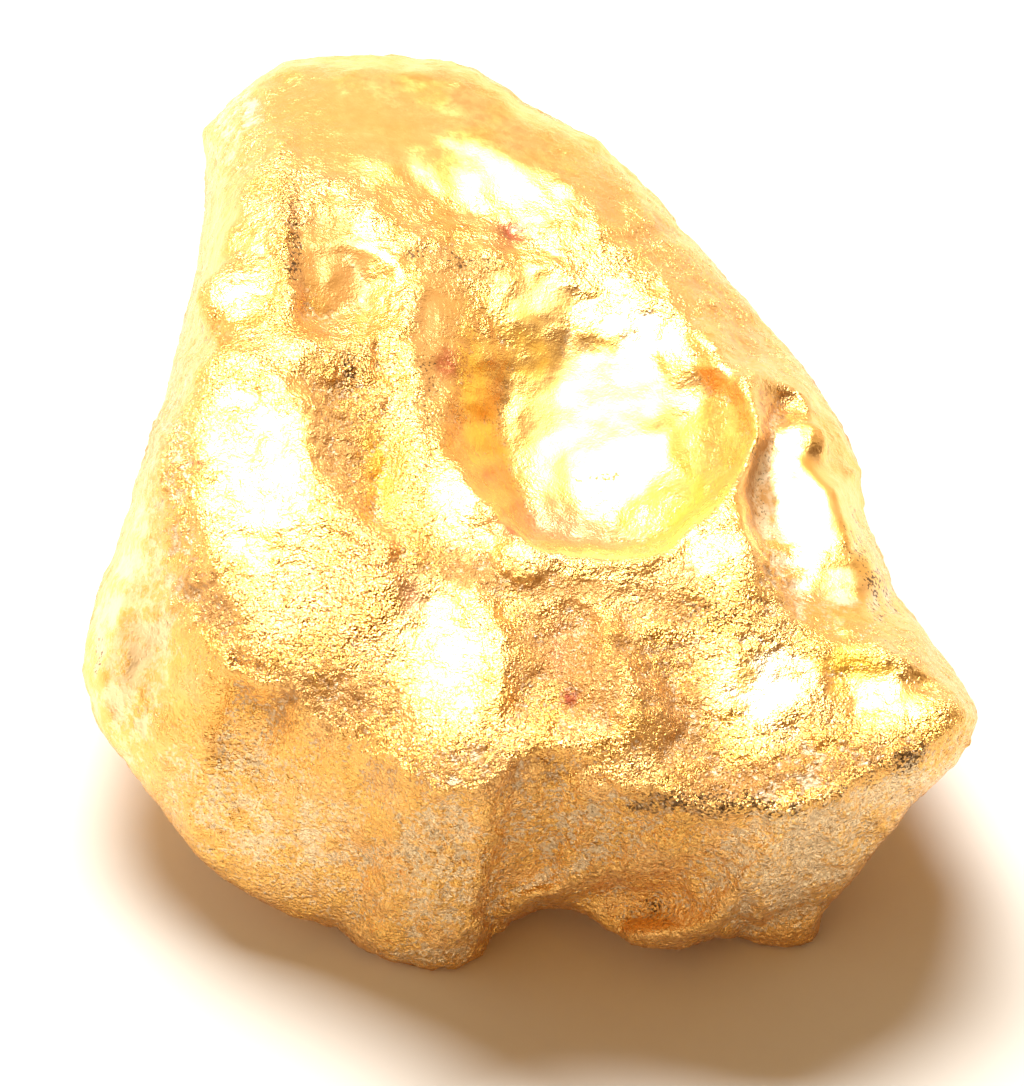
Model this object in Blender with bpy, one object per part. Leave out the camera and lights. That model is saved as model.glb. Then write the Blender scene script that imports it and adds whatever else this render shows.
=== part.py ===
"""A native gold nugget, one solid lump, lying on its worn flats on a table.

The lump is drawn the way a surveyor draws ground: rims, brows, foot lines and single places, each with its
height, on a sheet that lies square to one line of sight. A mesh through them gives the side that faces that
line, and broad facets and a curved belly close the far side. Small lumps, pits and grooves follow. The solid
is then skinned, remeshed, thinned and sliced flat where it rests.
Run it with: blender --background --python part.py
"""

import itertools
import math
from dataclasses import dataclass

import bmesh
import bpy
import numpy as np
from mathutils import Matrix, Vector, geometry

# Driving dimensions, in millimetres unless the name says otherwise.
MM = 0.001
SHEET_UNIT = 1.0 / 80.0  # one unit of the drawing sheet
SHEET_MIDDLE = (520.0, 520.0)  # the sheet place that lies over x = 0, y = 0; sheet y runs down
SIGHT_FALL = math.radians(50.0)  # how steeply the line of sight falls on to the table
SIGHT_HEIGHT = 3.25  # height above the table at which the middle of the sheet lies over y = 0

GRID_STEP = 0.03
SHEET_LOW = (-6.2, -6.4)
SHEET_SPAN = (12.9, 13.2)
CREASE_ROUNDING = 0.045  # how far every crease of the relief is rounded
RIM_ROUNDING = 0.22  # how far the edge of the relief is rounded into the far side
RIM_FLAP = 0.5  # how far the relief carries on past its own edge
FLAP_FALL = 0.5
STEEPEST = 3.0
# Wandering of every drawn line, as (cell size, shift), and unevenness of the ground between, as (cell, height).
LINE_WANDER = ((0.5, 0.07), (0.2, 0.035))
GROUND = ((0.9, 0.045), (0.38, 0.018), (0.16, 0.006))

# How finely the solid is made.
CELL = 0.12
VOXEL = 0.13
SETTLE_ROUNDS = 3
GRADIENT_STEP = 0.02
MOST_TRIANGLES = 9300
BALL_REACH = 0.3  # how far past its radius a ball can still change the body
WORN_AWAY = 0.05  # height of the slice that leaves the flats on the underside
BOX_LOW = (-6.0, -5.9, -0.3)
BOX_HIGH = (6.3, 8.4, 5.7)

# The uneven skin of the far side: (cell size, height) of each layer of noise.
SKIN_LAYERS = ((2.0, 0.16), (0.9, 0.09), (0.4, 0.04))

GOLD_COLOUR = (1.0, 0.62, 0.21, 1.0)
GOLD_ROUGHNESS = 0.34


def on_sheet(x, y):
    """The (across, up) of a place on the drawing sheet, in millimetres."""
    return (x - SHEET_MIDDLE[0]) * SHEET_UNIT, (SHEET_MIDDLE[1] - y) * SHEET_UNIT


def depth_at(up, height):
    """How far towards the eye a place lies, from its up on the sheet and its height above the table."""
    return (height - SIGHT_HEIGHT) / math.sin(SIGHT_FALL) - up / math.tan(SIGHT_FALL)


def wall(x, y, stands_at):
    """A sheet place whose height is found from the y at which its wall stands."""
    up = on_sheet(x, y)[1]
    return x, y, SIGHT_HEIGHT + (up - stands_at * math.sin(SIGHT_FALL)) / math.cos(SIGHT_FALL)


def across_up_depth(points):
    """Turns points of the solid's own frame into the frame of the sheet."""
    rise = points[:, 2] - SIGHT_HEIGHT
    up = points[:, 1] * math.sin(SIGHT_FALL) + rise * math.cos(SIGHT_FALL)
    depth = rise * math.sin(SIGHT_FALL) - points[:, 1] * math.cos(SIGHT_FALL)
    return points[:, 0], up, depth


def from_sheet(across, up, depth):
    """The point of the solid's own frame for a place in the frame of the sheet."""
    fall = SIGHT_FALL
    return np.array(
        [
            across,
            up * math.sin(fall) - depth * math.cos(fall),
            SIGHT_HEIGHT + up * math.cos(fall) + depth * math.sin(fall),
        ]
    )


def smooth_max(a, b, blend):
    """The larger of two distances, with the crease between them rounded over the blend width."""
    near = np.maximum(blend - np.abs(a - b), 0.0) / blend
    return np.maximum(a, b) + near * near * blend * 0.25


def smooth_min(a, b, blend):
    return -smooth_max(-a, -b, blend)


def scatter(lattice, salt):
    """A repeatable number between -1 and 1 for each corner of a lattice."""
    mixed = np.full(lattice.shape[:-1], salt * 668265263 + 374761393, np.int64)
    for axis, prime in zip(range(lattice.shape[-1]), (73856093, 19349663, 83492791)):
        mixed ^= lattice[..., axis] * prime
    mixed = (mixed ^ (mixed >> 13)) * 1274126177
    mixed ^= mixed >> 16
    return (mixed & 0xFFFF) / 32767.5 - 1.0


def ripple(places, cell, salt):
    """Gradient noise, about -1 to 1, over places in two or three dimensions."""
    places = places / cell + 57.31
    base = np.floor(places).astype(np.int64)
    part = places - base
    ease = part * part * part * (part * (part * 6.0 - 15.0) + 10.0)
    total = np.zeros(places.shape[:-1])
    for corner in itertools.product((0, 1), repeat=places.shape[-1]):
        weight = np.prod(np.where(corner, ease, 1.0 - ease), axis=-1)
        lean = sum(
            scatter(base + corner, salt * 8 + axis) * (part[..., axis] - corner[axis])
            for axis in range(places.shape[-1])
        )
        total += weight * lean
    return total * 1.4


def layered(places, layers, salt):
    """The sum of several layers of noise, each a (cell size, height)."""
    return sum(height * ripple(places, cell, salt + k) for k, (cell, height) in enumerate(layers))


# The relief. Each run is a crease, a rim or a foot line, as (sheet x, sheet y, height) places in order.
OUTLINE = (
    (200, 128, 2.9), (226, 98, 3.2), (252, 74, 3.3), (282, 57, 3.4), (320, 51, 3.45), (400, 52, 3.45),
    (450, 57, 3.45), (476, 67, 3.45), (500, 82, 3.45), (522, 99, 3.4), (560, 118, 3.35), (600, 138, 3.3),
    (650, 188, 3.2), (680, 224, 3.15), (710, 258, 3.1), (750, 302, 3.1), (775, 334, 3.0), (800, 360, 3.0),
    (826, 392, 3.0), (850, 430, 2.95), (861, 462, 2.9), (865, 500, 2.85), (869, 530, 2.85), (880, 556, 2.9),
    (893, 590, 2.9), (910, 616, 2.95), (940, 655, 3.0), (958, 680, 3.05), (971, 702, 3.15), (974, 718, 3.2),
    (966, 742, 3.0), (952, 765, 2.85), (930, 788, 2.65), (905, 810, 2.4), (888, 833, 2.1), (868, 856, 1.8),
    (850, 880, 1.45), (832, 898, 1.15), (822, 908, 0.9), (814, 934, 0.3), (800, 951, 0.0), (778, 953, 0.0),
    (755, 948, 0.1), (737, 938, 0.25), (729, 936, 0.85), (715, 936, 0.8), (700, 942, 0.65), (680, 950, 0.5),
    (650, 953, 0.45), (632, 948, 0.5), (615, 935, 0.6), (600, 924, 0.68), (585, 912, 0.78), (570, 907, 0.8),
    (540, 910, 0.75), (512, 920, 0.6), (497, 932, 0.45), (487, 941, 0.35), (488, 952, 0.22), (484, 963, 0.1),
    (468, 971, 0.02), (425, 975, 0.0), (390, 967, 0.1), (367, 953, 0.25), (350, 938, 0.4), (335, 926, 0.5),
    (290, 914, 0.6), (250, 894, 0.8), (215, 871, 1.05), (195, 851, 1.2), (172, 822, 1.4), (150, 792, 1.6),
    (120, 755, 1.9), (95, 718, 2.15), (83, 672, 2.4), (87, 630, 2.5), (100, 588, 2.6), (120, 542, 2.7),
    (138, 480, 2.8), (153, 430, 2.8), (168, 380, 2.8), (188, 300, 2.85), (198, 250, 2.9), (204, 200, 2.9),
    (205, 155, 2.9),
)  # fmt: skip

RUNS = (
    # The back slope and its shallow bowl.
    ((262, 85, 3.6), (300, 76, 3.75), (350, 72, 3.78), (400, 73, 3.75), (450, 82, 3.72), (500, 108, 3.65),
     (560, 142, 3.6), (602, 168, 3.55), (650, 218, 3.5), (692, 266, 3.42), (730, 312, 3.3), (766, 352, 3.25)),
    ((300, 130, 4.1), (360, 125, 4.1), (420, 130, 4.02), (480, 135, 3.95), (540, 165, 3.88), (590, 205, 3.84),
     (630, 250, 3.78), (668, 285, 3.72)),
    ((350, 180, 4.32), (400, 160, 4.14), (450, 152, 4.0), (500, 155, 3.95), (545, 185, 3.9)),
    ((400, 205, 4.24), (450, 208, 4.02), (490, 218, 3.92), (510, 234, 3.86), (530, 236, 3.87), (538, 214, 3.92),
     (556, 214, 3.9)),
    ((340, 200, 4.42), (370, 215, 4.44), (400, 232, 4.38), (450, 248, 4.22), (505, 262, 4.04), (534, 268, 3.98),
     (565, 268, 3.93)),
    # The crest down the left, with a crisp drop to the pocket on its right.
    ((262, 85, 3.62), (268, 115, 3.95), (276, 150, 4.28), (282, 200, 4.56), (289, 250, 4.7), (293, 290, 4.72),
     (296, 318, 4.72), (303, 329, 4.7), (320, 336, 4.66), (352, 339, 4.56), (385, 331, 4.48), (402, 312, 4.44),
     (408, 290, 4.4), (402, 268, 4.4), (380, 250, 4.42), (345, 240, 4.45), (315, 225, 4.48), (295, 190, 4.44),
     (286, 150, 4.22)),
    ((290, 200, 4.46), (298, 250, 4.52), (304, 290, 4.5), (309, 314, 4.4), (322, 324, 4.34)),
    ((352, 262, 4.32), (368, 286, 4.22), (362, 306, 4.19), (338, 316, 4.24)),
    ((338, 334, 4.42), (360, 333, 4.36), (386, 320, 4.36)),
    ((240, 130, 3.8), (240, 200, 4.36), (226, 240, 4.38), (216, 290, 4.34), (208, 335, 4.3)),
    # The hump below the pocket.
    ((215, 342, 4.5), (245, 340, 4.76), (280, 340, 4.83), (315, 343, 4.82), (336, 354, 4.73), (356, 374, 4.5)),
    ((262, 362, 4.84), (290, 374, 4.84), (314, 384, 4.72), (338, 384, 4.54), (356, 390, 4.46)),
    # The left white face and its ledge.
    ((213, 352, 4.76), (250, 354, 4.9), (278, 378, 4.9), (300, 396, 4.9), (303, 440, 4.86), (318, 480, 4.84),
     (344, 515, 4.82), (366, 536, 4.82), (390, 549, 4.8), (389, 575, 4.7), (366, 600, 4.6), (335, 622, 4.46),
     (300, 640, 4.34), (262, 650, 4.24), (236, 640, 4.2), (222, 612, 4.22), (203, 572, 4.28), (180, 545, 4.25),
     (164, 505, 4.3), (162, 455, 4.42), (178, 410, 4.52), (196, 370, 4.64), (213, 352, 4.76)),
    ((210, 370, 4.79), (203, 400, 4.75), (198, 450, 4.7), (196, 500, 4.64), (210, 550, 4.55), (232, 600, 4.43)),
    ((320, 402, 4.72), (324, 440, 4.74), (338, 478, 4.74), (356, 506, 4.74), (374, 526, 4.74)),
    ((408, 580, 4.58), (400, 610, 4.5), (380, 642, 4.36), (345, 666, 4.23), (305, 682, 4.13), (262, 684, 4.07),
     (226, 668, 4.04), (202, 632, 4.04)),
    # Small hollow, lump and channel right of that face.
    ((334, 399, 4.56), (348, 395, 4.47), (364, 393, 4.43)),
    ((336, 418, 4.66), (352, 412, 4.6), (368, 418, 4.52), (382, 430, 4.46)),
    ((396, 436, 4.44), (386, 458, 4.38), (378, 482, 4.34), (376, 505, 4.38), (376, 522, 4.48)),
    ((414, 436, 4.54), (408, 460, 4.53), (400, 482, 4.5), (396, 510, 4.53), (398, 535, 4.6)),
    ((377, 347, 4.42), (385, 370, 4.35), (391, 390, 4.35)),
    ((370, 345, 4.54), (376, 370, 4.5), (384, 392, 4.44)),
    ((392, 347, 4.46), (400, 370, 4.4), (404, 392, 4.39)),
    # The great hollow: its rim, soft at the back and crisp in front, then what shows inside it.
    ((478, 302, 4.06), (460, 335, 4.2), (446, 375, 4.32), (440, 415, 4.42), (446, 448, 4.52), (470, 484, 4.62),
     (500, 516, 4.64), (530, 546, 4.64), (568, 552, 4.62), (604, 557, 4.6), (640, 556, 4.58), (668, 546, 4.52),
     (700, 518, 4.51), (724, 495, 4.51), (742, 470, 4.47), (753, 440, 4.38), (755, 415, 4.28), (747, 394, 4.17),
     (730, 368, 4.05), (712, 345, 3.94), (690, 322, 3.84), (655, 300, 3.8), (620, 288, 3.82), (580, 284, 3.88),
     (530, 288, 3.94), (478, 302, 4.06)),
    ((534, 322, 3.84), (512, 352, 3.74), (503, 390, 3.6), (500, 425, 3.5), (503, 460, 3.43), (516, 495, 3.36),
     (532, 534, 3.26), (568, 543, 3.22), (604, 548, 3.25), (642, 547, 3.3), (670, 534, 3.45), (698, 508, 3.7)),
    ((570, 300, 3.8), (570, 330, 3.7), (566, 380, 3.5), (560, 440, 3.3), (575, 490, 3.18)),
    ((650, 318, 3.74), (640, 350, 3.66), (628, 390, 3.52), (612, 440, 3.3), (610, 500, 3.16), (610, 524, 3.16)),
    ((700, 345, 3.84), (690, 368, 3.75), (662, 376, 3.62)),
    # The pocket in its right wall.
    ((640, 440, 3.32), (644, 405, 3.46), (668, 388, 3.6), (705, 385, 3.68), (732, 398, 3.85), (744, 430, 4.0),
     (736, 468, 3.95), (712, 492, 3.8), (680, 505, 3.5), (650, 480, 3.3), (640, 440, 3.32)),
    ((666, 414, 3.48), (698, 408, 3.58), (718, 422, 3.68), (720, 452, 3.68), (700, 474, 3.53), (672, 465, 3.36),
     (662, 438, 3.32)),
    # Crest between the small pocket and the hollow, and the spine that runs down to the centre.
    ((414, 262, 4.36), (416, 300, 4.4), (412, 335, 4.44), (414, 370, 4.45), (416, 405, 4.48), (424, 438, 4.55),
     (428, 480, 4.56), (430, 528, 4.5)),
    ((500, 518, 4.6), (492, 536, 4.5), (512, 548, 4.62), (540, 566, 4.6)),
    # The upper ledge across the middle and the notch under it.
    ((400, 552, 4.64), (430, 562, 4.52), (458, 576, 4.48), (482, 592, 4.43), (502, 600, 4.41), (545, 602, 4.4),
     (575, 595, 4.4), (600, 596, 4.4), (650, 600, 4.32), (690, 614, 4.24), (712, 620, 4.24), (735, 620, 4.24),
     (752, 627, 4.2)),
    ((420, 574, 4.53), (412, 600, 4.49), (398, 634, 4.41), (388, 664, 4.3)),
    # The second white face and the groove on its right.
    ((440, 577, 4.5), (470, 602, 4.52), (500, 630, 4.53), (508, 658, 4.5), (498, 690, 4.42), (474, 722, 4.32)),
    ((490, 604, 4.46), (520, 620, 4.4), (542, 650, 4.28), (540, 676, 4.24), (526, 690, 4.22), (546, 704, 4.18),
     (562, 724, 4.16)),
    ((424, 610, 4.44), (414, 655, 4.35), (410, 700, 4.26)),
    # The front brow, from the left face's foot to the middle.
    ((292, 690, 3.96), (318, 716, 3.86), (343, 730, 3.86), (372, 740, 3.9), (392, 756, 3.9), (410, 776, 3.92),
     (440, 792, 3.96), (476, 788, 4.04), (500, 774, 4.1), (520, 757, 4.16), (545, 744, 4.18), (575, 746, 4.12),
     (600, 752, 4.06), (622, 764, 3.98), (640, 788, 3.86), (680, 802, 3.78), (720, 807, 3.74), (760, 804, 3.72),
     (795, 802, 3.68), (825, 795, 3.66), (850, 784, 3.66), (880, 766, 3.66), (920, 748, 3.66), (950, 730, 3.66),
     (964, 714, 3.6)),
    ((400, 716, 4.14), (425, 734, 4.2), (450, 740, 4.26), (480, 736, 4.28), (508, 722, 4.28), (548, 722, 4.24)),
    # The boss in the middle and its crisp right edge.
    ((600, 606, 4.4), (612, 632, 4.45), (606, 652, 4.48), (622, 664, 4.52), (634, 690, 4.48), (638, 712, 4.4),
     (630, 728, 4.27), (612, 736, 4.2)),
    ((566, 606, 4.32), (580, 625, 4.2), (580, 650, 4.22)),
    ((552, 640, 4.26), (562, 665, 4.18), (575, 690, 4.2), (572, 715, 4.17)),
    # The trough, and the white ground on its right.
    ((622, 616, 4.3), (634, 642, 4.26), (652, 666, 4.18), (662, 692, 4.15), (664, 716, 4.12), (656, 742, 4.08),
     (650, 765, 3.99)),
    ((660, 650, 4.1), (670, 690, 3.94), (690, 730, 3.8), (715, 765, 3.7)),
    ((690, 645, 4.12), (715, 690, 4.02), (745, 735, 3.88), (775, 785, 3.72)),
    ((662, 622, 4.28), (700, 636, 4.16), (742, 640, 4.14)),
    ((700, 645, 4.14), (745, 648, 4.14), (790, 640, 4.08)),
    # The wing.
    ((750, 690, 3.98), (800, 700, 3.94), (812, 742, 3.84)),
    ((800, 745, 3.74), (816, 752, 3.74)),
    ((826, 646, 4.0), (850, 644, 3.98), (880, 652, 3.94), (905, 660, 3.88)),
    ((833, 674, 3.87), (852, 671, 3.81), (884, 678, 3.79), (898, 682, 3.79)),
    ((820, 665, 3.99), (820, 692, 3.94), (838, 706, 3.82), (870, 704, 3.78), (906, 696, 3.78)),
    ((860, 735, 3.8), (905, 722, 3.78), (950, 704, 3.74)),
    ((915, 652, 3.6), (940, 680, 3.62), (958, 700, 3.62)),
    # The right flank: the rim of its channel, the channel and the shallow hollow beyond.
    ((756, 372, 4.0), (760, 420, 4.24), (752, 456, 4.38), (740, 492, 4.48), (747, 530, 4.45), (766, 570, 4.3),
     (782, 600, 4.1), (800, 622, 4.02), (825, 640, 3.98)),
    ((768, 430, 3.86), (758, 470, 3.86), (750, 500, 3.9), (756, 530, 3.85), (776, 566, 3.8), (795, 600, 3.76)),
    ((784, 465, 3.8), (776, 500, 3.68), (780, 535, 3.63), (802, 566, 3.66)),
    ((808, 462, 3.86), (822, 482, 3.82), (824, 510, 3.77), (824, 540, 3.72), (826, 566, 3.7)),
    ((836, 490, 3.78), (845, 520, 3.71), (850, 552, 3.65)),
    ((866, 552, 3.46), (878, 580, 3.4)),
    ((820, 600, 3.72), (860, 598, 3.56), (880, 620, 3.5)),
    ((768, 392, 3.72), (785, 384, 3.5), (806, 400, 3.42), (812, 424, 3.5), (790, 436, 3.7), (768, 425, 3.8)),
    ((780, 400, 3.3), (795, 408, 3.25), (785, 420, 3.4)),
    # The flat corner between the hollow, the channel and the ledge.
    ((690, 548, 4.46), (722, 528, 4.5), (740, 575, 4.42), (700, 592, 4.36), (655, 580, 4.44)),
    # The left flank.
    ((230, 130, 3.55), (228, 180, 3.9), (216, 240, 3.95), (205, 290, 3.92), (196, 340, 3.9), (180, 385, 3.95),
     (158, 440, 3.9), (146, 500, 3.85), (138, 560, 3.6), (120, 620, 3.2)),
    ((215, 130, 3.3), (214, 180, 3.4), (207, 240, 3.45), (196, 300, 3.4), (184, 350, 3.4), (166, 400, 3.4),
     (148, 460, 3.35), (132, 540, 3.2), (108, 610, 2.85), (100, 670, 2.7)),
    (wall(150, 700, -2.6), wall(160, 650, -2.15), wall(185, 600, -1.9)),
    (wall(112, 715, -2.45), wall(150, 750, -3.0), wall(190, 800, -3.5)),
    (wall(205, 735, -3.3), wall(210, 765, -3.43), wall(214, 790, -3.54)),
    (wall(224, 742, -3.28), wall(238, 772, -3.5), wall(262, 792, -3.74)),
    (wall(250, 690, -3.08), wall(272, 710, -3.2), wall(262, 738, -3.34)),
    (wall(236, 668, -3.0), wall(296, 690, -3.5), wall(300, 735, -3.64), wall(262, 764, -3.52)),
    (wall(230, 850, -3.85), wall(270, 870, -4.05), wall(310, 890, -4.2), wall(345, 905, -4.35)),
    (wall(240, 820, -3.75), wall(300, 820, -4.0), wall(350, 830, -4.25)),
    (wall(330, 750, -3.95), wall(380, 770, -4.4), wall(330, 790, -4.12)),
    # The nose and the front wall.
    (wall(400, 780, -4.72), wall(395, 840, -4.66), wall(385, 880, -4.62), wall(384, 925, -4.7),
     wall(400, 950, -4.72)),
    (wall(366, 860, -4.32), wall(356, 910, -4.4)),
    (wall(440, 800, -4.95), wall(440, 860, -5.0), wall(436, 910, -4.98), wall(440, 950, -4.85)),
    (wall(500, 790, -4.85), wall(496, 840, -4.86), wall(482, 880, -4.86), wall(478, 925, -4.84)),
    (wall(520, 800, -4.7), wall(515, 850, -4.52), wall(502, 890, -4.43), wall(494, 920, -4.42)),
    (wall(556, 785, -4.6), wall(552, 835, -4.36), wall(546, 875, -4.28)),
    (wall(600, 785, -4.66), wall(605, 825, -4.5), wall(610, 850, -4.46)),
    (wall(512, 906, -4.52), wall(540, 894, -4.55), wall(570, 884, -4.56), wall(600, 874, -4.6),
     wall(640, 862, -4.72), wall(680, 852, -4.9)),
    # The curled lip under the front wall.
    (wall(575, 894, -4.36), wall(610, 888, -4.42), wall(645, 886, -4.52), wall(672, 896, -4.64)),
    (wall(600, 908, -4.38), wall(625, 918, -4.5), wall(650, 916, -4.56)),
    (wall(636, 936, -4.66), wall(662, 930, -4.72), wall(688, 930, -4.78)),
    # The wall under the right brow, and the under-face of the wing.
    (wall(660, 825, -4.85), wall(720, 835, -5.0), wall(760, 828, -5.0)),
    (wall(792, 812, -4.98), wall(765, 850, -5.0), wall(745, 885, -4.95), wall(705, 925, -4.88)),
    (wall(700, 870, -4.8), wall(725, 880, -4.72), wall(700, 900, -4.7)),
    (wall(850, 810, -4.68), wall(830, 850, -4.68), wall(800, 885, -4.72), wall(760, 915, -4.8)),
    (wall(920, 765, -4.1), wall(880, 805, -4.35), wall(850, 845, -4.5)),
    # The foot that stands behind the wing.
    (wall(742, 925, -4.3), wall(780, 914, -4.3), wall(812, 906, -4.25)),
    (wall(760, 936, -4.35), wall(785, 930, -4.4), wall(805, 925, -4.3)),
)  # fmt: skip


class Relief:
    """The side of the lump that faces the line of sight, as depths on a fine grid over the sheet."""

    def __init__(self):
        self.low = np.array(SHEET_LOW)
        columns, rows = (int(span / GRID_STEP) for span in SHEET_SPAN)
        spots = np.stack(np.meshgrid(np.arange(columns), np.arange(rows)), -1) * GRID_STEP + self.low
        self.grid = np.zeros((rows, columns))
        rim = np.array([on_sheet(x, y) for x, y, _ in OUTLINE])
        self.draw(rim)
        wander = np.stack([layered(spots, LINE_WANDER, salt) for salt in (1, 5)], -1)
        self.grid = self.read(self.grid, *np.moveaxis(spots + wander, -1, 0))
        self.grid = soften(self.grid, CREASE_ROUNDING / GRID_STEP)
        self.grid += layered(spots, GROUND, 11)
        slope_up, slope_across = np.gradient(self.grid, GRID_STEP)
        self.stretch = np.sqrt(1.0 + np.minimum(np.hypot(slope_up, slope_across), STEEPEST) ** 2)
        self.beyond = beyond_loop(spots + 0.4 * wander, rim)

    def draw(self, rim):
        """Joins the runs into triangles and writes their depths on to the grid."""
        flat, depth, edges = [], [], []
        for run, closed in [(OUTLINE, True), *((run, False) for run in RUNS)]:
            start = len(flat)
            for x, y, height in run:
                across, up = on_sheet(x, y)
                flat.append(Vector((across, up)))
                depth.append(depth_at(up, height))
            edges += [(i, i + 1) for i in range(start, len(flat) - 1)]
            if closed:
                edges.append((len(flat) - 1, start))
        along = np.roll(rim, -1, axis=0) - np.roll(rim, 1, axis=0)
        outward = np.stack([-along[:, 1], along[:, 0]], -1) / np.linalg.norm(along, axis=1)[:, None]
        for i, place in enumerate(rim + outward * RIM_FLAP):
            if not inside_loop(place, rim):
                flat.append(Vector(place))
                depth.append(depth[i] - FLAP_FALL)
        corners, _, faces, origins, _, _ = geometry.delaunay_2d_cdt(flat, edges, [], 0, 1e-5)
        corners = np.array([tuple(corner) for corner in corners])
        known = np.array([np.mean([depth[i] for i in origin]) if origin else np.nan for origin in origins])
        for i in np.flatnonzero(np.isnan(known)):
            gap = np.linalg.norm(corners - corners[i], axis=1)
            gap[np.isnan(known)] = np.inf
            nearest = np.argsort(gap)[:2]
            known[i] = np.average(known[nearest], weights=1.0 / (gap[nearest] + 1e-6))
        for face in faces:
            self.fill(corners[list(face)], known[list(face)])

    def fill(self, corners, depths):
        """Writes one triangle of the relief on to the grid."""
        low = np.floor((corners.min(0) - self.low) / GRID_STEP).astype(int)
        high = np.ceil((corners.max(0) - self.low) / GRID_STEP).astype(int) + 1
        across, up = np.meshgrid(np.arange(low[0], high[0]), np.arange(low[1], high[1]))
        spots = np.stack([across, up], -1) * GRID_STEP + self.low - corners[0]
        span = np.array([corners[1] - corners[0], corners[2] - corners[0]])
        if abs(np.linalg.det(span)) < 1e-9:
            return
        share = spots @ np.linalg.inv(span)
        within = (share.min(-1) > -1e-6) & (share.sum(-1) < 1.0 + 1e-6)
        value = depths[0] + share @ (depths[1:] - depths[0])
        self.grid[up[within], across[within]] = value[within]

    def read(self, table, across, up):
        """Reads a table of the grid between its points."""
        place_up = np.clip((up - self.low[1]) / GRID_STEP, 0, table.shape[0] - 1.001)
        place_across = np.clip((across - self.low[0]) / GRID_STEP, 0, table.shape[1] - 1.001)
        row, column = place_up.astype(int), place_across.astype(int)
        down, along = place_up - row, place_across - column
        near = table[row, column] * (1 - along) + table[row, column + 1] * along
        far = table[row + 1, column] * (1 - along) + table[row + 1, column + 1] * along
        return near * (1 - down) + far * down

    def distance(self, points):
        across, up, depth = across_up_depth(points)
        face = (depth - self.read(self.grid, across, up)) / self.read(self.stretch, across, up)
        return smooth_max(face, self.read(self.beyond, across, up), RIM_ROUNDING)

    def skin(self, x, y, lift=0.0):
        """The point of the skin under a sheet place, lifted this far towards the eye."""
        across, up = on_sheet(x, y)
        depth = self.read(self.grid, np.array([across]), np.array([up]))[0]
        return from_sheet(across, up, depth + lift)


def beyond_loop(spots, loop):
    """How far each spot lies outside a closed loop of corners, negative inside it."""
    gap = np.full(spots.shape[:-1], np.inf)
    inside = np.zeros(spots.shape[:-1], bool)
    for here, ahead in zip(loop, np.roll(loop, -1, axis=0)):
        edge, away = ahead - here, spots - here
        share = np.clip(away @ edge / (edge @ edge), 0.0, 1.0)
        gap = np.minimum(gap, np.linalg.norm(away - share[..., None] * edge, axis=-1))
        if here[1] != ahead[1]:
            crossed = (here[1] > spots[..., 1]) != (ahead[1] > spots[..., 1])
            inside ^= crossed & (away[..., 0] < away[..., 1] / edge[1] * edge[0])
    return np.where(inside, -gap, gap)


def inside_loop(place, loop):
    """Whether a place lies inside a closed loop of corners."""
    ahead = np.roll(loop, -1, axis=0)
    spans = (loop[:, 1] > place[1]) != (ahead[:, 1] > place[1])
    rise = np.where(spans, ahead[:, 1] - loop[:, 1], 1.0)
    cross = loop[:, 0] + (place[1] - loop[:, 1]) / rise * (ahead[:, 0] - loop[:, 0])
    return np.count_nonzero(spans & (place[0] < cross)) % 2 == 1


def soften(table, width):
    """Blurs a table by a bell curve this many steps wide."""
    reach = int(3 * width) + 1
    bell = np.exp(-0.5 * (np.arange(-reach, reach + 1) / width) ** 2)
    bell /= bell.sum()
    for axis in (0, 1):
        table = np.apply_along_axis(np.convolve, axis, table, bell, "same")
    return table


@dataclass(frozen=True)
class Facet:
    """A broad, nearly flat side of the body: a half space that ends at a plane."""

    at: tuple
    faces: tuple
    blend: float = 0.35

    def apply(self, body, points):
        normal = np.array(self.faces, float)
        normal /= np.linalg.norm(normal)
        return smooth_max(body, (points - np.array(self.at, float)) @ normal, self.blend)


@dataclass(frozen=True)
class Belly:
    """The underside: flat in the middle, curling up to the edge, and down again at the feet."""

    middle: tuple = (-0.5, 1.0)
    radii: tuple = (2.7, 3.2)
    curl: float = 0.62
    feet: tuple = ((-1.0, -4.4, 1.4), (3.3, -4.3, 1.3), (-0.8, 4.2, 1.6))
    blend: float = 0.12

    def apply(self, body, points):
        away = np.linalg.norm((points[:, :2] - self.middle) / self.radii, axis=1)
        rise = self.curl * np.maximum(away - 1.0, 0.0) ** 1.2
        for x, y, reach in self.feet:
            rise *= 1.0 - np.exp(-((points[:, 0] - x) ** 2 + (points[:, 1] - y) ** 2) / reach**2)
        return smooth_max(body, (rise - points[:, 2]) * 0.85, self.blend)


@dataclass(frozen=True)
class Blob:
    """A rounded lump on the skin under a sheet place."""

    sheet: tuple
    radii: tuple
    lift: float = 0.0
    blend: float = 0.12

    def apply(self, body, points, relief):
        return merge_ball(body, points, relief.skin(*self.sheet, self.lift), self.radii, self.blend, False)


@dataclass(frozen=True)
class Scoop:
    """A rounded hollow that a pebble pressed into a side of the body."""

    middle: tuple
    radii: tuple
    blend: float = 0.25

    def apply(self, body, points):
        return merge_ball(body, points, np.array(self.middle), self.radii, self.blend, True)


def merge_ball(body, points, middle, radii, blend, hollow):
    """Adds an ellipsoid to the body or, where hollow is true, takes it away."""
    radii = np.array(radii, float)
    near = np.linalg.norm(points - middle, axis=1) < radii.max() + blend + BALL_REACH
    local = points[near] - middle
    k0 = np.linalg.norm(local / radii, axis=1)
    k1 = np.linalg.norm(local / radii**2, axis=1)
    gap = k0 * (k0 - 1.0) / np.maximum(k1, 1e-9)
    body = body.copy()
    body[near] = smooth_max(body[near], -gap, blend) if hollow else smooth_min(body[near], gap, blend)
    return body


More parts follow.
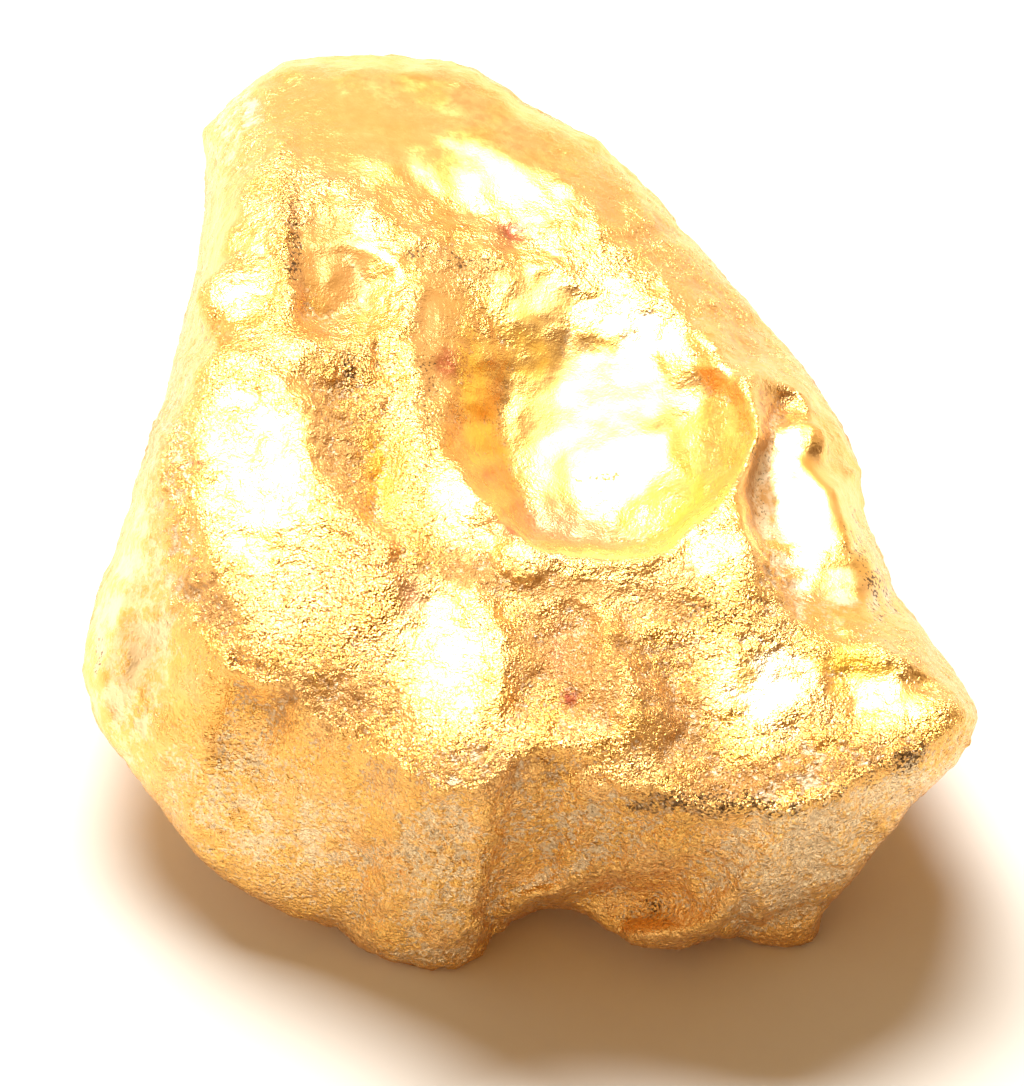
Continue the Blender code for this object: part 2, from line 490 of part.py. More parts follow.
FACETS = (
    Facet((-3.9, 7.3, 2.4), (-0.62, 0.74, 0.10)),
    Facet((-1.6, 8.0, 2.4), (0.02, 0.99, 0.05)),
    Facet((2.4, 5.4, 2.2), (0.72, 0.69, -0.05)),
    Facet((4.75, 0.4, 2.4), (0.93, 0.37, -0.08)),
    Facet((-5.2, 0.9, 1.6), (-0.70, 0.10, -0.70)),
    Facet((-4.3, 4.5, 1.6), (-0.75, 0.15, -0.65)),
    Facet((5.7, -2.0, 1.4), (0.60, 0.10, -0.78)),
    Facet((3.5, 2.0, 1.3), (0.62, 0.25, -0.75)),
    Facet((-1.0, 7.3, 1.2), (0.0, 0.60, -0.80)),
)

BLOBS = (
    Blob((523, 562), (0.3, 0.28, 0.12), lift=-0.06, blend=0.16),
    Blob((800, 443), (0.34, 0.3, 0.22), lift=-0.15, blend=0.16),
    Blob((235, 300), (0.5, 0.5, 0.3), lift=-0.2, blend=0.25),
)


# The sides that lie away from the sight line, in millimetres from the sheet's middle: pressed hollows
# on the back, down the long right side, along the left and round the edge of the underside.
SCOOPS = (
    Scoop((-2.5, 8.45, 1.5), (1.1, 0.9, 0.8)),
    Scoop((-0.5, 8.2, 2.1), (0.8, 0.55, 0.5)),
    Scoop((1.7, 7.0, 1.3), (1.0, 1.0, 0.8)),
    Scoop((3.0, 5.45, 2.0), (0.7, 0.8, 0.6)),
    Scoop((4.0, 3.3, 1.1), (1.0, 1.1, 0.9)),
    Scoop((4.75, 1.4, 1.9), (0.6, 0.8, 0.5)),
    Scoop((5.2, -1.1, 0.8), (0.9, 0.9, 0.8)),
    Scoop((-4.9, 5.9, 1.3), (0.9, 1.3, 0.8)),
    Scoop((-5.2, 3.4, 1.1), (0.9, 0.9, 0.7)),
    Scoop((-5.3, 1.1, 0.6), (0.9, 1.1, 0.7)),
    Scoop((1.4, 4.9, -0.3), (1.0, 1.3, 0.7)),
    Scoop((-3.3, 2.4, -0.25), (0.9, 1.2, 0.7)),
    Scoop((0.9, -1.9, -0.35), (1.3, 0.9, 0.75)),
    Scoop((2.6, 1.3, -0.3), (0.8, 1.1, 0.7)),
)


class Lump:
    """The whole form, as a signed distance that is negative inside it."""

    def __init__(self):
        self.relief = Relief()

    def field(self, points):
        body = self.relief.distance(points)
        for facet in FACETS:
            body = facet.apply(body, points)
        for blob in BLOBS:
            body = blob.apply(body, points, self.relief)
        for scoop in SCOOPS:
            body = scoop.apply(body, points)
        return Belly().apply(body, points)

    def gradient(self, points):
        here = self.field(points)
        slope = np.empty_like(points)
        for axis in range(3):
            moved = points.copy()
            moved[:, axis] += GRADIENT_STEP
            slope[:, axis] = (self.field(moved) - here) / GRADIENT_STEP
        return here, slope


def skin_mesh(lump, cell):
    """Makes the mesh of the form's skin: a vertex in each cell it crosses, a quad round each crossed edge."""
    low, high = np.array(BOX_LOW), np.array(BOX_HIGH)
    shape = np.ceil((high - low) / cell).astype(int) + 1
    lattice = np.stack(np.meshgrid(*(np.arange(n) for n in shape), indexing="ij"), -1).reshape(-1, 3)
    values = np.concatenate([lump.field(part * cell + low) for part in np.array_split(lattice, 24)])
    values = values.reshape(shape)
    total = np.zeros((values.size, 3))
    count = np.zeros(values.size)
    stride = np.array([shape[1] * shape[2], shape[2], 1])
    rings, turned = [], []
    for axis in range(3):
        here = np.take(values, range(shape[axis] - 1), axis)
        ahead = np.take(values, range(1, shape[axis]), axis)
        crossed = np.argwhere((here < 0) != (ahead < 0))
        a, b = here[tuple(crossed.T)], ahead[tuple(crossed.T)]
        place = crossed.astype(float)
        place[:, axis] += a / (a - b)
        side, other = stride[(axis + 1) % 3], stride[(axis + 2) % 3]
        base = crossed @ stride
        ring = np.stack([base, base - side, base - side - other, base - other], 1)
        for corner in ring.T:
            for k in range(3):
                total[:, k] += np.bincount(corner, place[:, k], values.size)
            count += np.bincount(corner, minlength=values.size)
        rings.append(ring)
        turned.append(a < 0)
    rings, turned = np.concatenate(rings), np.concatenate(turned)
    rings[~turned] = rings[~turned][:, ::-1]
    used = np.flatnonzero(count)
    index = np.zeros(values.size, int)
    index[used] = np.arange(len(used))
    mesh = bpy.data.meshes.new("nugget")
    points = total[used] / count[used, None] * cell + low
    mesh.from_pydata(points.tolist(), [], index[rings].tolist())
    mesh.update()
    return mesh


def coordinates(mesh):
    flat = np.empty(len(mesh.vertices) * 3, np.float32)
    mesh.vertices.foreach_get("co", flat)
    return flat.reshape(-1, 3).astype(float)


def set_coordinates(mesh, points):
    mesh.vertices.foreach_set("co", points.astype(np.float32).ravel())
    mesh.update()


def settle(mesh, lump):
    """Moves each vertex straight on to the skin."""
    points = coordinates(mesh)
    for _ in range(SETTLE_ROUNDS):
        here, slope = lump.gradient(points)
        move = (here / np.maximum((slope**2).sum(1), 0.25))[:, None] * slope
        points -= np.clip(move, -VOXEL, VOXEL)
    set_coordinates(mesh, points)


def roughen(mesh):
    """Pushes the skin in and out along its normals by layers of noise, most on the side away from the eye."""
    normals = np.array([v.normal for v in mesh.vertices])
    points = coordinates(mesh)
    facing = normals @ np.array([0.0, -math.cos(SIGHT_FALL), math.sin(SIGHT_FALL)])
    push = layered(points, SKIN_LAYERS, 23) * np.clip(0.25 - facing, 0.0, 1.0)
    set_coordinates(mesh, points + normals * push[:, None])


def apply_modifier(obj, kind, **settings):
    """Adds a modifier, applies it and leaves the object with the mesh that it makes."""
    modifier = obj.modifiers.new(kind.title(), kind)
    for name, value in settings.items():
        setattr(modifier, name, value)
    graph = bpy.context.evaluated_depsgraph_get()
    made = bpy.data.meshes.new_from_object(obj.evaluated_get(graph))
    obj.modifiers.clear()
    obj.data = made


def wear_flats(mesh):
    """Slices off the lowest skin, and closes the cut with the flat faces that the nugget lies on."""
    shaped = bmesh.new()
    shaped.from_mesh(mesh)
    bmesh.ops.bisect_plane(
        shaped,
        geom=shaped.verts[:] + shaped.edges[:] + shaped.faces[:],
        plane_co=(0.0, 0.0, WORN_AWAY),
        plane_no=(0.0, 0.0, 1.0),
        clear_inner=True,
    )
    rim = [edge for edge in shaped.edges if edge.is_boundary]
    bmesh.ops.triangle_fill(shaped, edges=rim, use_beauty=True, normal=(0.0, 0.0, -1.0))
    bmesh.ops.recalc_face_normals(shaped, faces=shaped.faces)
    shaped.to_mesh(mesh)
    shaped.free()


def stand_on_origin(mesh):
    """Moves the mesh so that the origin is at the bottom centre of its bounding box."""
    points = coordinates(mesh)
    low, high = points.min(0), points.max(0)
    middle = (low + high) / 2
    set_coordinates(mesh, points - np.array([middle[0], middle[1], low[2]]))


def gold():
    material = bpy.data.materials.new("native_gold")
    material.use_nodes = True
    shader = material.node_tree.nodes["Principled BSDF"]
    shader.inputs["Base Color"].default_value = GOLD_COLOUR
    shader.inputs["Metallic"].default_value = 1.0
    shader.inputs["Roughness"].default_value = GOLD_ROUGHNESS
    return material


def make_nugget():
    lump = Lump()
    nugget = bpy.data.objects.new("nugget", skin_mesh(lump, CELL))
    bpy.context.scene.collection.objects.link(nugget)
    apply_modifier(nugget, "REMESH", mode="VOXEL", voxel_size=VOXEL)
    settle(nugget.data, lump)
    roughen(nugget.data)
    apply_modifier(nugget, "TRIANGULATE")
    apply_modifier(nugget, "DECIMATE", ratio=MOST_TRIANGLES / len(nugget.data.polygons))
    wear_flats(nugget.data)
    stand_on_origin(nugget.data)
    nugget.data.transform(Matrix.Scale(MM, 4))
    nugget.data.materials.clear()
    nugget.data.materials.append(gold())
    nugget.data.shade_smooth()
    return nugget


def main():
    for old in list(bpy.data.objects):
        bpy.data.objects.remove(old)
    make_nugget()


main()
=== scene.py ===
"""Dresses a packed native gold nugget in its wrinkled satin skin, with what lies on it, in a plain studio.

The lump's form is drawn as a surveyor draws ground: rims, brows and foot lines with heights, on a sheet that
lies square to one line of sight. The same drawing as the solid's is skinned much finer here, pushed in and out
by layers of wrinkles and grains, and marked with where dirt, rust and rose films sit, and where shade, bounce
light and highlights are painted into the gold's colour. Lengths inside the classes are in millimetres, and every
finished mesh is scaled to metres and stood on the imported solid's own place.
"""

import itertools
import logging
import math
from dataclasses import dataclass
from enum import Enum
from functools import partial

import bmesh
import bpy
import numpy as np
from mathutils import Matrix, Vector, geometry


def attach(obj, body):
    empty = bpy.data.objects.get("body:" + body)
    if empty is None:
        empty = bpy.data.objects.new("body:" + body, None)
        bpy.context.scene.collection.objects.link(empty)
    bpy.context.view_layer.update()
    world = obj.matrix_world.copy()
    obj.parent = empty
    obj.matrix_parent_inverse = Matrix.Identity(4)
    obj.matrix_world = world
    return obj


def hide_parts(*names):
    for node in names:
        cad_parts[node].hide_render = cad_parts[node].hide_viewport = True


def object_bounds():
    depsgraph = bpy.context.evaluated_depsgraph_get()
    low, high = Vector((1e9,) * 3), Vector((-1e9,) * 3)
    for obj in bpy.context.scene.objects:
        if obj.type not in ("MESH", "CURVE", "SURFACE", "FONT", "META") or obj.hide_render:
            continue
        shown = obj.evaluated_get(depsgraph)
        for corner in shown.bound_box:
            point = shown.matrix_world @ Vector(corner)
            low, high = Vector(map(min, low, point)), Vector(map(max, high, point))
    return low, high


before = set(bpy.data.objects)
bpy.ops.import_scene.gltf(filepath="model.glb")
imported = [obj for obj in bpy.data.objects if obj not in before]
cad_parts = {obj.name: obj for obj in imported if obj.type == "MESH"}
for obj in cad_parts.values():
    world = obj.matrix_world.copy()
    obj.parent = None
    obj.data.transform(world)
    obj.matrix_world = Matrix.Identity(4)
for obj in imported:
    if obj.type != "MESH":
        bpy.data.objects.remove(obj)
SOLID_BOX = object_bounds()

log = logging.getLogger("nugget")

MM = 0.001
NODE = "nugget"

SHEET_UNIT = 1.0 / 80.0  # one unit of the drawing sheet, in millimetres
SHEET_MIDDLE = (520.0, 520.0)  # the sheet place that lies over x = 0, y = 0; sheet y runs down
SIGHT_FALL = math.radians(50.0)  # how steeply the line of sight falls on to the table
SIGHT = (0.0, -math.cos(SIGHT_FALL), math.sin(SIGHT_FALL))  # from the lump towards the eye
SIGHT_HEIGHT = 3.25  # height above the table at which the middle of the sheet lies over y = 0

# How the relief is gridded over the sheet, in millimetres.
GRID_STEP = 0.015
SHEET_LOW = (-6.2, -6.4)
SHEET_SPAN = (12.9, 13.2)
CREASE_ROUNDING = 0.038
RIM_ROUNDING = 0.22
RIM_FLAP = 0.5
FLAP_FALL = 0.5
STEEPEST = 3.0
LINE_WANDER = ((0.5, 0.07), (0.2, 0.035))
GROUND = ((0.9, 0.045), (0.38, 0.018), (0.16, 0.006))

# The box that the form is looked for in, and how it is skinned.
BOX_LOW = (-6.0, -5.9, -0.3)
BOX_HIGH = (6.3, 8.4, 5.7)
BALL_REACH = 0.3
WORN_AWAY = 0.05
SETTLE_ROUNDS = 3
GRADIENT_STEP = 0.012
SKIN_LAYERS = ((2.0, 0.16), (0.9, 0.09), (0.4, 0.04))


def on_sheet(x: float, y: float) -> tuple[float, float]:
    """The (across, up) of a place on the drawing sheet, in millimetres."""
    return (x - SHEET_MIDDLE[0]) * SHEET_UNIT, (SHEET_MIDDLE[1] - y) * SHEET_UNIT


def depth_at(up: float, height: float) -> float:
    """The depth along the sight line of a place this far up the sheet and this high over the table."""
    rise = height - SIGHT_HEIGHT
    return rise / math.sin(SIGHT_FALL) - up / math.tan(SIGHT_FALL)


def wall(x: float, y: float, stands_at: float) -> tuple[float, float, float]:
    """A sheet place with the height of an upright wall that stands at this Y.

    Args:
        x: Sheet x.
        y: Sheet y, running down.
        stands_at: Where the wall stands along Y, in millimetres.

    Returns:
        The place as (sheet x, sheet y, height).
    """
    up = on_sheet(x, y)[1]
    return x, y, SIGHT_HEIGHT + (up - math.sin(SIGHT_FALL) * stands_at) / math.cos(SIGHT_FALL)


def across_up_depth(points: np.ndarray) -> tuple[np.ndarray, np.ndarray, np.ndarray]:
    """Turns points of the table's frame into across, up and depth of the sheet's frame.

    Args:
        points: One row of coordinates for each point, in millimetres.

    Returns:
        Across, up and depth of every point.
    """
    rise = points[:, 2] - SIGHT_HEIGHT
    up = points[:, 1] * math.sin(SIGHT_FALL) + rise * math.cos(SIGHT_FALL)
    return points[:, 0], up, rise * math.sin(SIGHT_FALL) - points[:, 1] * math.cos(SIGHT_FALL)


def from_sheet(across: float, up: float, depth: float) -> np.ndarray:
    """The point of the table's frame at a place of the sheet's frame.

    Args:
        across: How far across the sheet, in millimetres.
        up: How far up the sheet.
        depth: How far towards the eye.

    Returns:
        The point's coordinates.
    """
    return np.array(
        [
            across,
            up * math.sin(SIGHT_FALL) - depth * math.cos(SIGHT_FALL),
            SIGHT_HEIGHT + up * math.cos(SIGHT_FALL) + depth * math.sin(SIGHT_FALL),
        ]
    )


def smooth_max(a: np.ndarray, b: np.ndarray, blend: float) -> np.ndarray:
    """The larger of two distances, with the crease between them rounded over the blend width."""
    near = np.maximum(blend - np.abs(a - b), 0.0) / blend
    return np.maximum(a, b) + near * near * blend * 0.25


def smooth_min(a: np.ndarray, b: np.ndarray, blend: float) -> np.ndarray:
    """The smaller of two distances, with the crease between them rounded over the blend width."""
    return -smooth_max(-a, -b, blend)


def scatter(lattice: np.ndarray, salt: int) -> np.ndarray:
    """A repeatable number between -1 and 1 for each corner of a lattice.

    Args:
        lattice: Whole-number corners, their coordinates in the last axis.
        salt: Which pattern it is.

    Returns:
        One number for each corner.
    """
    mixed = np.full(lattice.shape[:-1], salt * 668265263 + 374761393, np.int64)
    for axis, prime in zip(range(lattice.shape[-1]), (73856093, 19349663, 83492791)):
        mixed ^= lattice[..., axis] * prime
    mixed = (mixed ^ (mixed >> 13)) * 1274126177
    mixed ^= mixed >> 16
    return (mixed & 0xFFFF) / 32767.5 - 1.0


def ripple(places: np.ndarray, cell: float, salt: int) -> np.ndarray:
    """Gradient noise, about -1 to 1, over places in two or three dimensions.

    Args:
        places: The places, their coordinates in the last axis.
        cell: The size of a cell.
        salt: Which pattern it is.

    Returns:
        One value for each place.
    """
    places = places / cell + 57.31
    base = np.floor(places).astype(np.int64)
    part = places - base
    ease = part * part * part * (part * (part * 6.0 - 15.0) + 10.0)
    total = np.zeros(places.shape[:-1])
    for corner in itertools.product((0, 1), repeat=places.shape[-1]):
        weight = np.prod(np.where(corner, ease, 1.0 - ease), axis=-1)
        lean = sum(
            scatter(base + corner, salt * 8 + axis) * (part[..., axis] - corner[axis])
            for axis in range(places.shape[-1])
        )
        total += weight * lean
    return total * 1.4


def layered(places: np.ndarray, layers: tuple, salt: int) -> np.ndarray:
    """The sum of several layers of noise, each a (cell size, height)."""
    return sum(height * ripple(places, cell, salt + k) for k, (cell, height) in enumerate(layers))


def pebbled(places: np.ndarray, cell: float, salt: int) -> np.ndarray:
    """Rounded grains packed side by side: 1 on top of each grain, falling to 0 in the joints between them.

    Args:
        places: The places, their coordinates in the last axis.
        cell: The size of a grain.
        salt: Which pattern it is.

    Returns:
        One value for each place.
    """
    places = places / cell + 31.7
    base = np.floor(places).astype(np.int64)
    part = places - base
    nearest = np.full(places.shape[:-1], 9.0)
    second = nearest.copy()
    for offset in itertools.product((-1, 0, 1), repeat=3):
        spot = np.stack([0.5 + 0.42 * scatter(base + offset, salt * 8 + axis) for axis in range(3)], -1)
        gap = ((spot + offset - part) ** 2).sum(-1)
        second = np.minimum(second, np.maximum(nearest, gap))
        nearest = np.minimum(nearest, gap)
    return np.clip((np.sqrt(second) - np.sqrt(nearest)) * 1.7, 0.0, 1.0) ** 0.6


# The relief. Each run is a crease, a rim or a foot line, as (sheet x, sheet y, height) places in order.
OUTLINE = (
    (200, 128, 2.9), (226, 98, 3.2), (252, 74, 3.3), (282, 57, 3.4), (320, 51, 3.45), (400, 52, 3.45),
    (450, 57, 3.45), (476, 67, 3.45), (500, 82, 3.45), (522, 99, 3.4), (560, 118, 3.35), (600, 138, 3.3),
    (650, 188, 3.2), (680, 224, 3.15), (710, 258, 3.1), (750, 302, 3.1), (775, 334, 3.0), (800, 360, 3.0),
    (826, 392, 3.0), (850, 430, 2.95), (861, 462, 2.9), (865, 500, 2.85), (869, 530, 2.85), (880, 556, 2.9),
    (893, 590, 2.9), (910, 616, 2.95), (940, 655, 3.0), (958, 680, 3.05), (971, 702, 3.15), (974, 718, 3.2),
    (966, 742, 3.0), (952, 765, 2.85), (930, 788, 2.65), (905, 810, 2.4), (888, 833, 2.1), (868, 856, 1.8),
    (850, 880, 1.45), (832, 898, 1.15), (822, 908, 0.9), (814, 934, 0.3), (800, 951, 0.0), (778, 953, 0.0),
    (755, 948, 0.1), (737, 938, 0.25), (729, 936, 0.85), (715, 936, 0.8), (700, 942, 0.65), (680, 950, 0.5),
    (650, 953, 0.45), (632, 948, 0.5), (615, 935, 0.6), (600, 924, 0.68), (585, 912, 0.78), (570, 907, 0.8),
    (540, 910, 0.75), (512, 920, 0.6), (497, 932, 0.45), (487, 941, 0.35), (488, 952, 0.22), (484, 963, 0.1),
    (468, 971, 0.02), (425, 975, 0.0), (390, 967, 0.1), (367, 953, 0.25), (350, 938, 0.4), (335, 926, 0.5),
    (290, 914, 0.6), (250, 894, 0.8), (215, 871, 1.05), (195, 851, 1.2), (172, 822, 1.4), (150, 792, 1.6),
    (120, 755, 1.9), (95, 718, 2.15), (83, 672, 2.4), (87, 630, 2.5), (100, 588, 2.6), (120, 542, 2.7),
    (138, 480, 2.8), (153, 430, 2.8), (168, 380, 2.8), (188, 300, 2.85), (198, 250, 2.9), (204, 200, 2.9),
    (205, 155, 2.9),
)  # fmt: skip

RUNS = (
    # The back slope and its shallow bowl.
    ((262, 85, 3.6), (300, 76, 3.75), (350, 72, 3.78), (400, 73, 3.75), (450, 82, 3.72), (500, 108, 3.65),
     (560, 142, 3.6), (602, 168, 3.55), (650, 218, 3.5), (692, 266, 3.42), (730, 312, 3.3), (766, 352, 3.25)),
    ((300, 130, 4.1), (360, 125, 4.1), (420, 130, 4.02), (480, 135, 3.95), (540, 165, 3.88), (590, 205, 3.84),
     (630, 250, 3.78), (668, 285, 3.72)),
    ((350, 180, 4.32), (400, 160, 4.14), (450, 152, 4.0), (500, 155, 3.95), (545, 185, 3.9)),
    ((400, 205, 4.24), (450, 208, 4.02), (490, 218, 3.92), (510, 234, 3.86), (530, 236, 3.87), (538, 214, 3.92),
     (556, 214, 3.9)),
    ((340, 200, 4.42), (370, 215, 4.44), (400, 232, 4.38), (450, 248, 4.22), (505, 262, 4.04), (534, 268, 3.98),
     (565, 268, 3.93)),
    # The crest down the left, with a crisp drop to the pocket on its right.
    ((262, 85, 3.62), (268, 115, 3.95), (276, 150, 4.28), (282, 200, 4.56), (289, 250, 4.7), (293, 290, 4.72),
     (296, 318, 4.72), (303, 329, 4.7), (320, 336, 4.66), (352, 339, 4.56), (385, 331, 4.48), (402, 312, 4.44),
     (408, 290, 4.4), (402, 268, 4.4), (380, 250, 4.42), (345, 240, 4.45), (315, 225, 4.48), (295, 190, 4.44),
     (286, 150, 4.22)),
    ((290, 200, 4.46), (298, 250, 4.52), (304, 290, 4.5), (309, 314, 4.4), (322, 324, 4.34)),
    ((352, 262, 4.32), (368, 286, 4.22), (362, 306, 4.19), (338, 316, 4.24)),
    ((338, 334, 4.42), (360, 333, 4.36), (386, 320, 4.36)),
    ((240, 130, 3.8), (240, 200, 4.36), (226, 240, 4.38), (216, 290, 4.34), (208, 335, 4.3)),
    # The hump below the pocket.
    ((215, 342, 4.5), (245, 340, 4.76), (280, 340, 4.83), (315, 343, 4.82), (336, 354, 4.73), (356, 374, 4.5)),
    ((262, 362, 4.84), (290, 374, 4.84), (314, 384, 4.72), (338, 384, 4.54), (356, 390, 4.46)),
    # The left white face and its ledge.
    ((213, 352, 4.76), (250, 354, 4.9), (278, 378, 4.9), (300, 396, 4.9), (303, 440, 4.86), (318, 480, 4.84),
     (344, 515, 4.82), (366, 536, 4.82), (390, 549, 4.8), (389, 575, 4.7), (366, 600, 4.6), (335, 622, 4.46),
     (300, 640, 4.34), (262, 650, 4.24), (236, 640, 4.2), (222, 612, 4.22), (203, 572, 4.28), (180, 545, 4.25),
     (164, 505, 4.3), (162, 455, 4.42), (178, 410, 4.52), (196, 370, 4.64), (213, 352, 4.76)),
    ((210, 370, 4.79), (203, 400, 4.75), (198, 450, 4.7), (196, 500, 4.64), (210, 550, 4.55), (232, 600, 4.43)),
    ((320, 402, 4.72), (324, 440, 4.74), (338, 478, 4.74), (356, 506, 4.74), (374, 526, 4.74)),
    ((408, 580, 4.58), (400, 610, 4.5), (380, 642, 4.36), (345, 666, 4.23), (305, 682, 4.13), (262, 684, 4.07),
     (226, 668, 4.04), (202, 632, 4.04)),
    # Small hollow, lump and channel right of that face.
    ((334, 399, 4.56), (348, 395, 4.47), (364, 393, 4.43)),
    ((336, 418, 4.66), (352, 412, 4.6), (368, 418, 4.52), (382, 430, 4.46)),
    ((396, 436, 4.44), (386, 458, 4.38), (378, 482, 4.34), (376, 505, 4.38), (376, 522, 4.48)),
    ((414, 436, 4.54), (408, 460, 4.53), (400, 482, 4.5), (396, 510, 4.53), (398, 535, 4.6)),
    ((377, 347, 4.42), (385, 370, 4.35), (391, 390, 4.35)),
    ((370, 345, 4.54), (376, 370, 4.5), (384, 392, 4.44)),
    ((392, 347, 4.46), (400, 370, 4.4), (404, 392, 4.39)),
    # The great hollow: its rim, soft at the back and crisp in front, then what shows inside it.
    ((478, 302, 4.06), (460, 335, 4.2), (446, 375, 4.32), (440, 415, 4.42), (446, 448, 4.52), (470, 484, 4.62),
     (500, 516, 4.64), (530, 546, 4.64), (568, 552, 4.62), (604, 557, 4.6), (640, 556, 4.58), (668, 546, 4.52),
     (700, 518, 4.51), (724, 495, 4.51), (742, 470, 4.47), (753, 440, 4.38), (755, 415, 4.28), (747, 394, 4.17),
     (730, 368, 4.05), (712, 345, 3.94), (690, 322, 3.84), (655, 300, 3.8), (620, 288, 3.82), (580, 284, 3.88),
     (530, 288, 3.94), (478, 302, 4.06)),
    ((534, 322, 3.84), (512, 352, 3.74), (503, 390, 3.6), (500, 425, 3.5), (503, 460, 3.43), (516, 495, 3.36),
     (532, 534, 3.26), (568, 543, 3.22), (604, 548, 3.25), (642, 547, 3.3), (670, 534, 3.45), (698, 508, 3.7)),
    ((570, 300, 3.8), (570, 330, 3.7), (566, 380, 3.5), (560, 440, 3.3), (575, 490, 3.18)),
    ((650, 318, 3.74), (640, 350, 3.66), (628, 390, 3.52), (612, 440, 3.3), (610, 500, 3.16), (610, 524, 3.16)),
    ((700, 345, 3.84), (690, 368, 3.75), (662, 376, 3.62)),
    # The pocket in its right wall.
    ((640, 440, 3.32), (644, 405, 3.46), (668, 388, 3.6), (705, 385, 3.68), (732, 398, 3.85), (744, 430, 4.0),
     (736, 468, 3.95), (712, 492, 3.8), (680, 505, 3.5), (650, 480, 3.3), (640, 440, 3.32)),
    ((666, 414, 3.48), (698, 408, 3.58), (718, 422, 3.68), (720, 452, 3.68), (700, 474, 3.53), (672, 465, 3.36),
     (662, 438, 3.32)),
    # Crest between the small pocket and the hollow, and the spine that runs down to the centre.
    ((414, 262, 4.36), (416, 300, 4.4), (412, 335, 4.44), (414, 370, 4.45), (416, 405, 4.48), (424, 438, 4.55),
     (428, 480, 4.56), (430, 528, 4.5)),
    ((500, 518, 4.58), (492, 536, 4.5), (512, 548, 4.57), (540, 566, 4.53)),
    # The upper ledge across the middle and the notch under it.
    ((400, 552, 4.64), (430, 562, 4.52), (458, 576, 4.48), (482, 592, 4.43), (502, 600, 4.41), (545, 602, 4.4),
     (575, 595, 4.4), (600, 596, 4.4), (650, 600, 4.32), (690, 614, 4.24), (712, 620, 4.24), (735, 620, 4.24),
     (752, 627, 4.2)),
    ((420, 574, 4.53), (412, 600, 4.49), (398, 634, 4.41), (388, 664, 4.3)),
    # The second white face and the groove on its right.
    ((440, 577, 4.5), (470, 602, 4.52), (500, 630, 4.53), (508, 658, 4.5), (498, 690, 4.42), (474, 722, 4.32)),
    ((490, 604, 4.46), (520, 620, 4.4), (542, 650, 4.28), (540, 676, 4.24), (526, 690, 4.22), (546, 704, 4.18),
     (562, 724, 4.16)),
    ((424, 610, 4.44), (414, 655, 4.35), (410, 700, 4.26)),
    # The front brow, from the left face's foot to the middle.
    ((292, 690, 3.96), (318, 716, 3.86), (343, 730, 3.86), (372, 740, 3.9), (392, 756, 3.9), (410, 776, 3.92),
     (440, 792, 3.96), (476, 788, 4.04), (500, 774, 4.1), (520, 757, 4.16), (545, 744, 4.18), (575, 746, 4.12),
     (600, 752, 4.06), (622, 764, 3.98), (640, 788, 3.86), (680, 802, 3.78), (720, 807, 3.74), (760, 804, 3.72),
     (795, 802, 3.68), (825, 795, 3.66), (850, 784, 3.66), (880, 766, 3.66), (920, 748, 3.66), (950, 730, 3.66),
     (964, 714, 3.6)),
    ((400, 716, 4.14), (425, 734, 4.2), (450, 740, 4.26), (480, 736, 4.28), (508, 722, 4.28), (548, 722, 4.24)),
    # The boss in the middle and its crisp right edge.
    ((600, 606, 4.4), (612, 632, 4.45), (606, 652, 4.48), (622, 664, 4.52), (634, 690, 4.48), (638, 712, 4.4),
     (630, 728, 4.27), (612, 736, 4.2)),
    ((566, 606, 4.32), (580, 625, 4.2), (580, 650, 4.22)),
    ((552, 640, 4.26), (562, 665, 4.18), (575, 690, 4.2), (572, 715, 4.17)),
    # The trough, and the white ground on its right.
    ((622, 616, 4.3), (634, 642, 4.26), (652, 666, 4.18), (662, 692, 4.15), (664, 716, 4.12), (656, 742, 4.08),
     (650, 765, 3.99)),
    ((660, 650, 4.1), (670, 690, 3.94), (690, 730, 3.8), (715, 765, 3.7)),
    ((690, 645, 4.12), (715, 690, 4.02), (745, 735, 3.88), (775, 785, 3.72)),
    ((662, 622, 4.28), (700, 636, 4.16), (742, 640, 4.14)),
    ((700, 645, 4.14), (745, 648, 4.14), (790, 640, 4.08)),
    # The wing.
    ((750, 690, 3.98), (800, 700, 3.94), (812, 742, 3.84)),
    ((800, 745, 3.74), (816, 752, 3.74)),
    ((826, 646, 4.0), (850, 644, 3.98), (880, 652, 3.94), (905, 660, 3.88)),
    ((833, 674, 3.87), (852, 671, 3.81), (884, 678, 3.79), (898, 682, 3.79)),
    ((820, 665, 3.99), (820, 692, 3.94), (838, 706, 3.82), (870, 704, 3.78), (906, 696, 3.78)),
    ((860, 735, 3.8), (905, 722, 3.78), (950, 704, 3.74)),
    ((915, 652, 3.6), (940, 680, 3.62), (958, 700, 3.62)),
    # The right flank: the rim of its channel, the channel and the shallow hollow beyond.
    ((756, 372, 4.0), (760, 420, 4.24), (752, 456, 4.38), (740, 492, 4.48), (747, 530, 4.45), (766, 570, 4.3),
     (782, 600, 4.1), (800, 622, 4.02), (825, 640, 3.98)),
    ((768, 430, 3.86), (758, 470, 3.86), (750, 500, 3.9), (756, 530, 3.85), (776, 566, 3.8), (795, 600, 3.76)),
    ((784, 465, 3.8), (776, 500, 3.68), (780, 535, 3.63), (802, 566, 3.66)),
    ((808, 462, 3.86), (822, 482, 3.82), (824, 510, 3.77), (824, 540, 3.72), (826, 566, 3.7)),
    ((836, 490, 3.78), (845, 520, 3.71), (850, 552, 3.65)),
    ((866, 552, 3.46), (878, 580, 3.4)),
    ((820, 600, 3.72), (860, 598, 3.56), (880, 620, 3.5)),
    ((768, 392, 3.8), (785, 384, 3.66), (806, 400, 3.6), (812, 424, 3.62), (790, 436, 3.74), (768, 425, 3.84)),
    ((780, 400, 3.56), (795, 408, 3.48), (785, 420, 3.6)),
    # The flat corner between the hollow, the channel and the ledge.
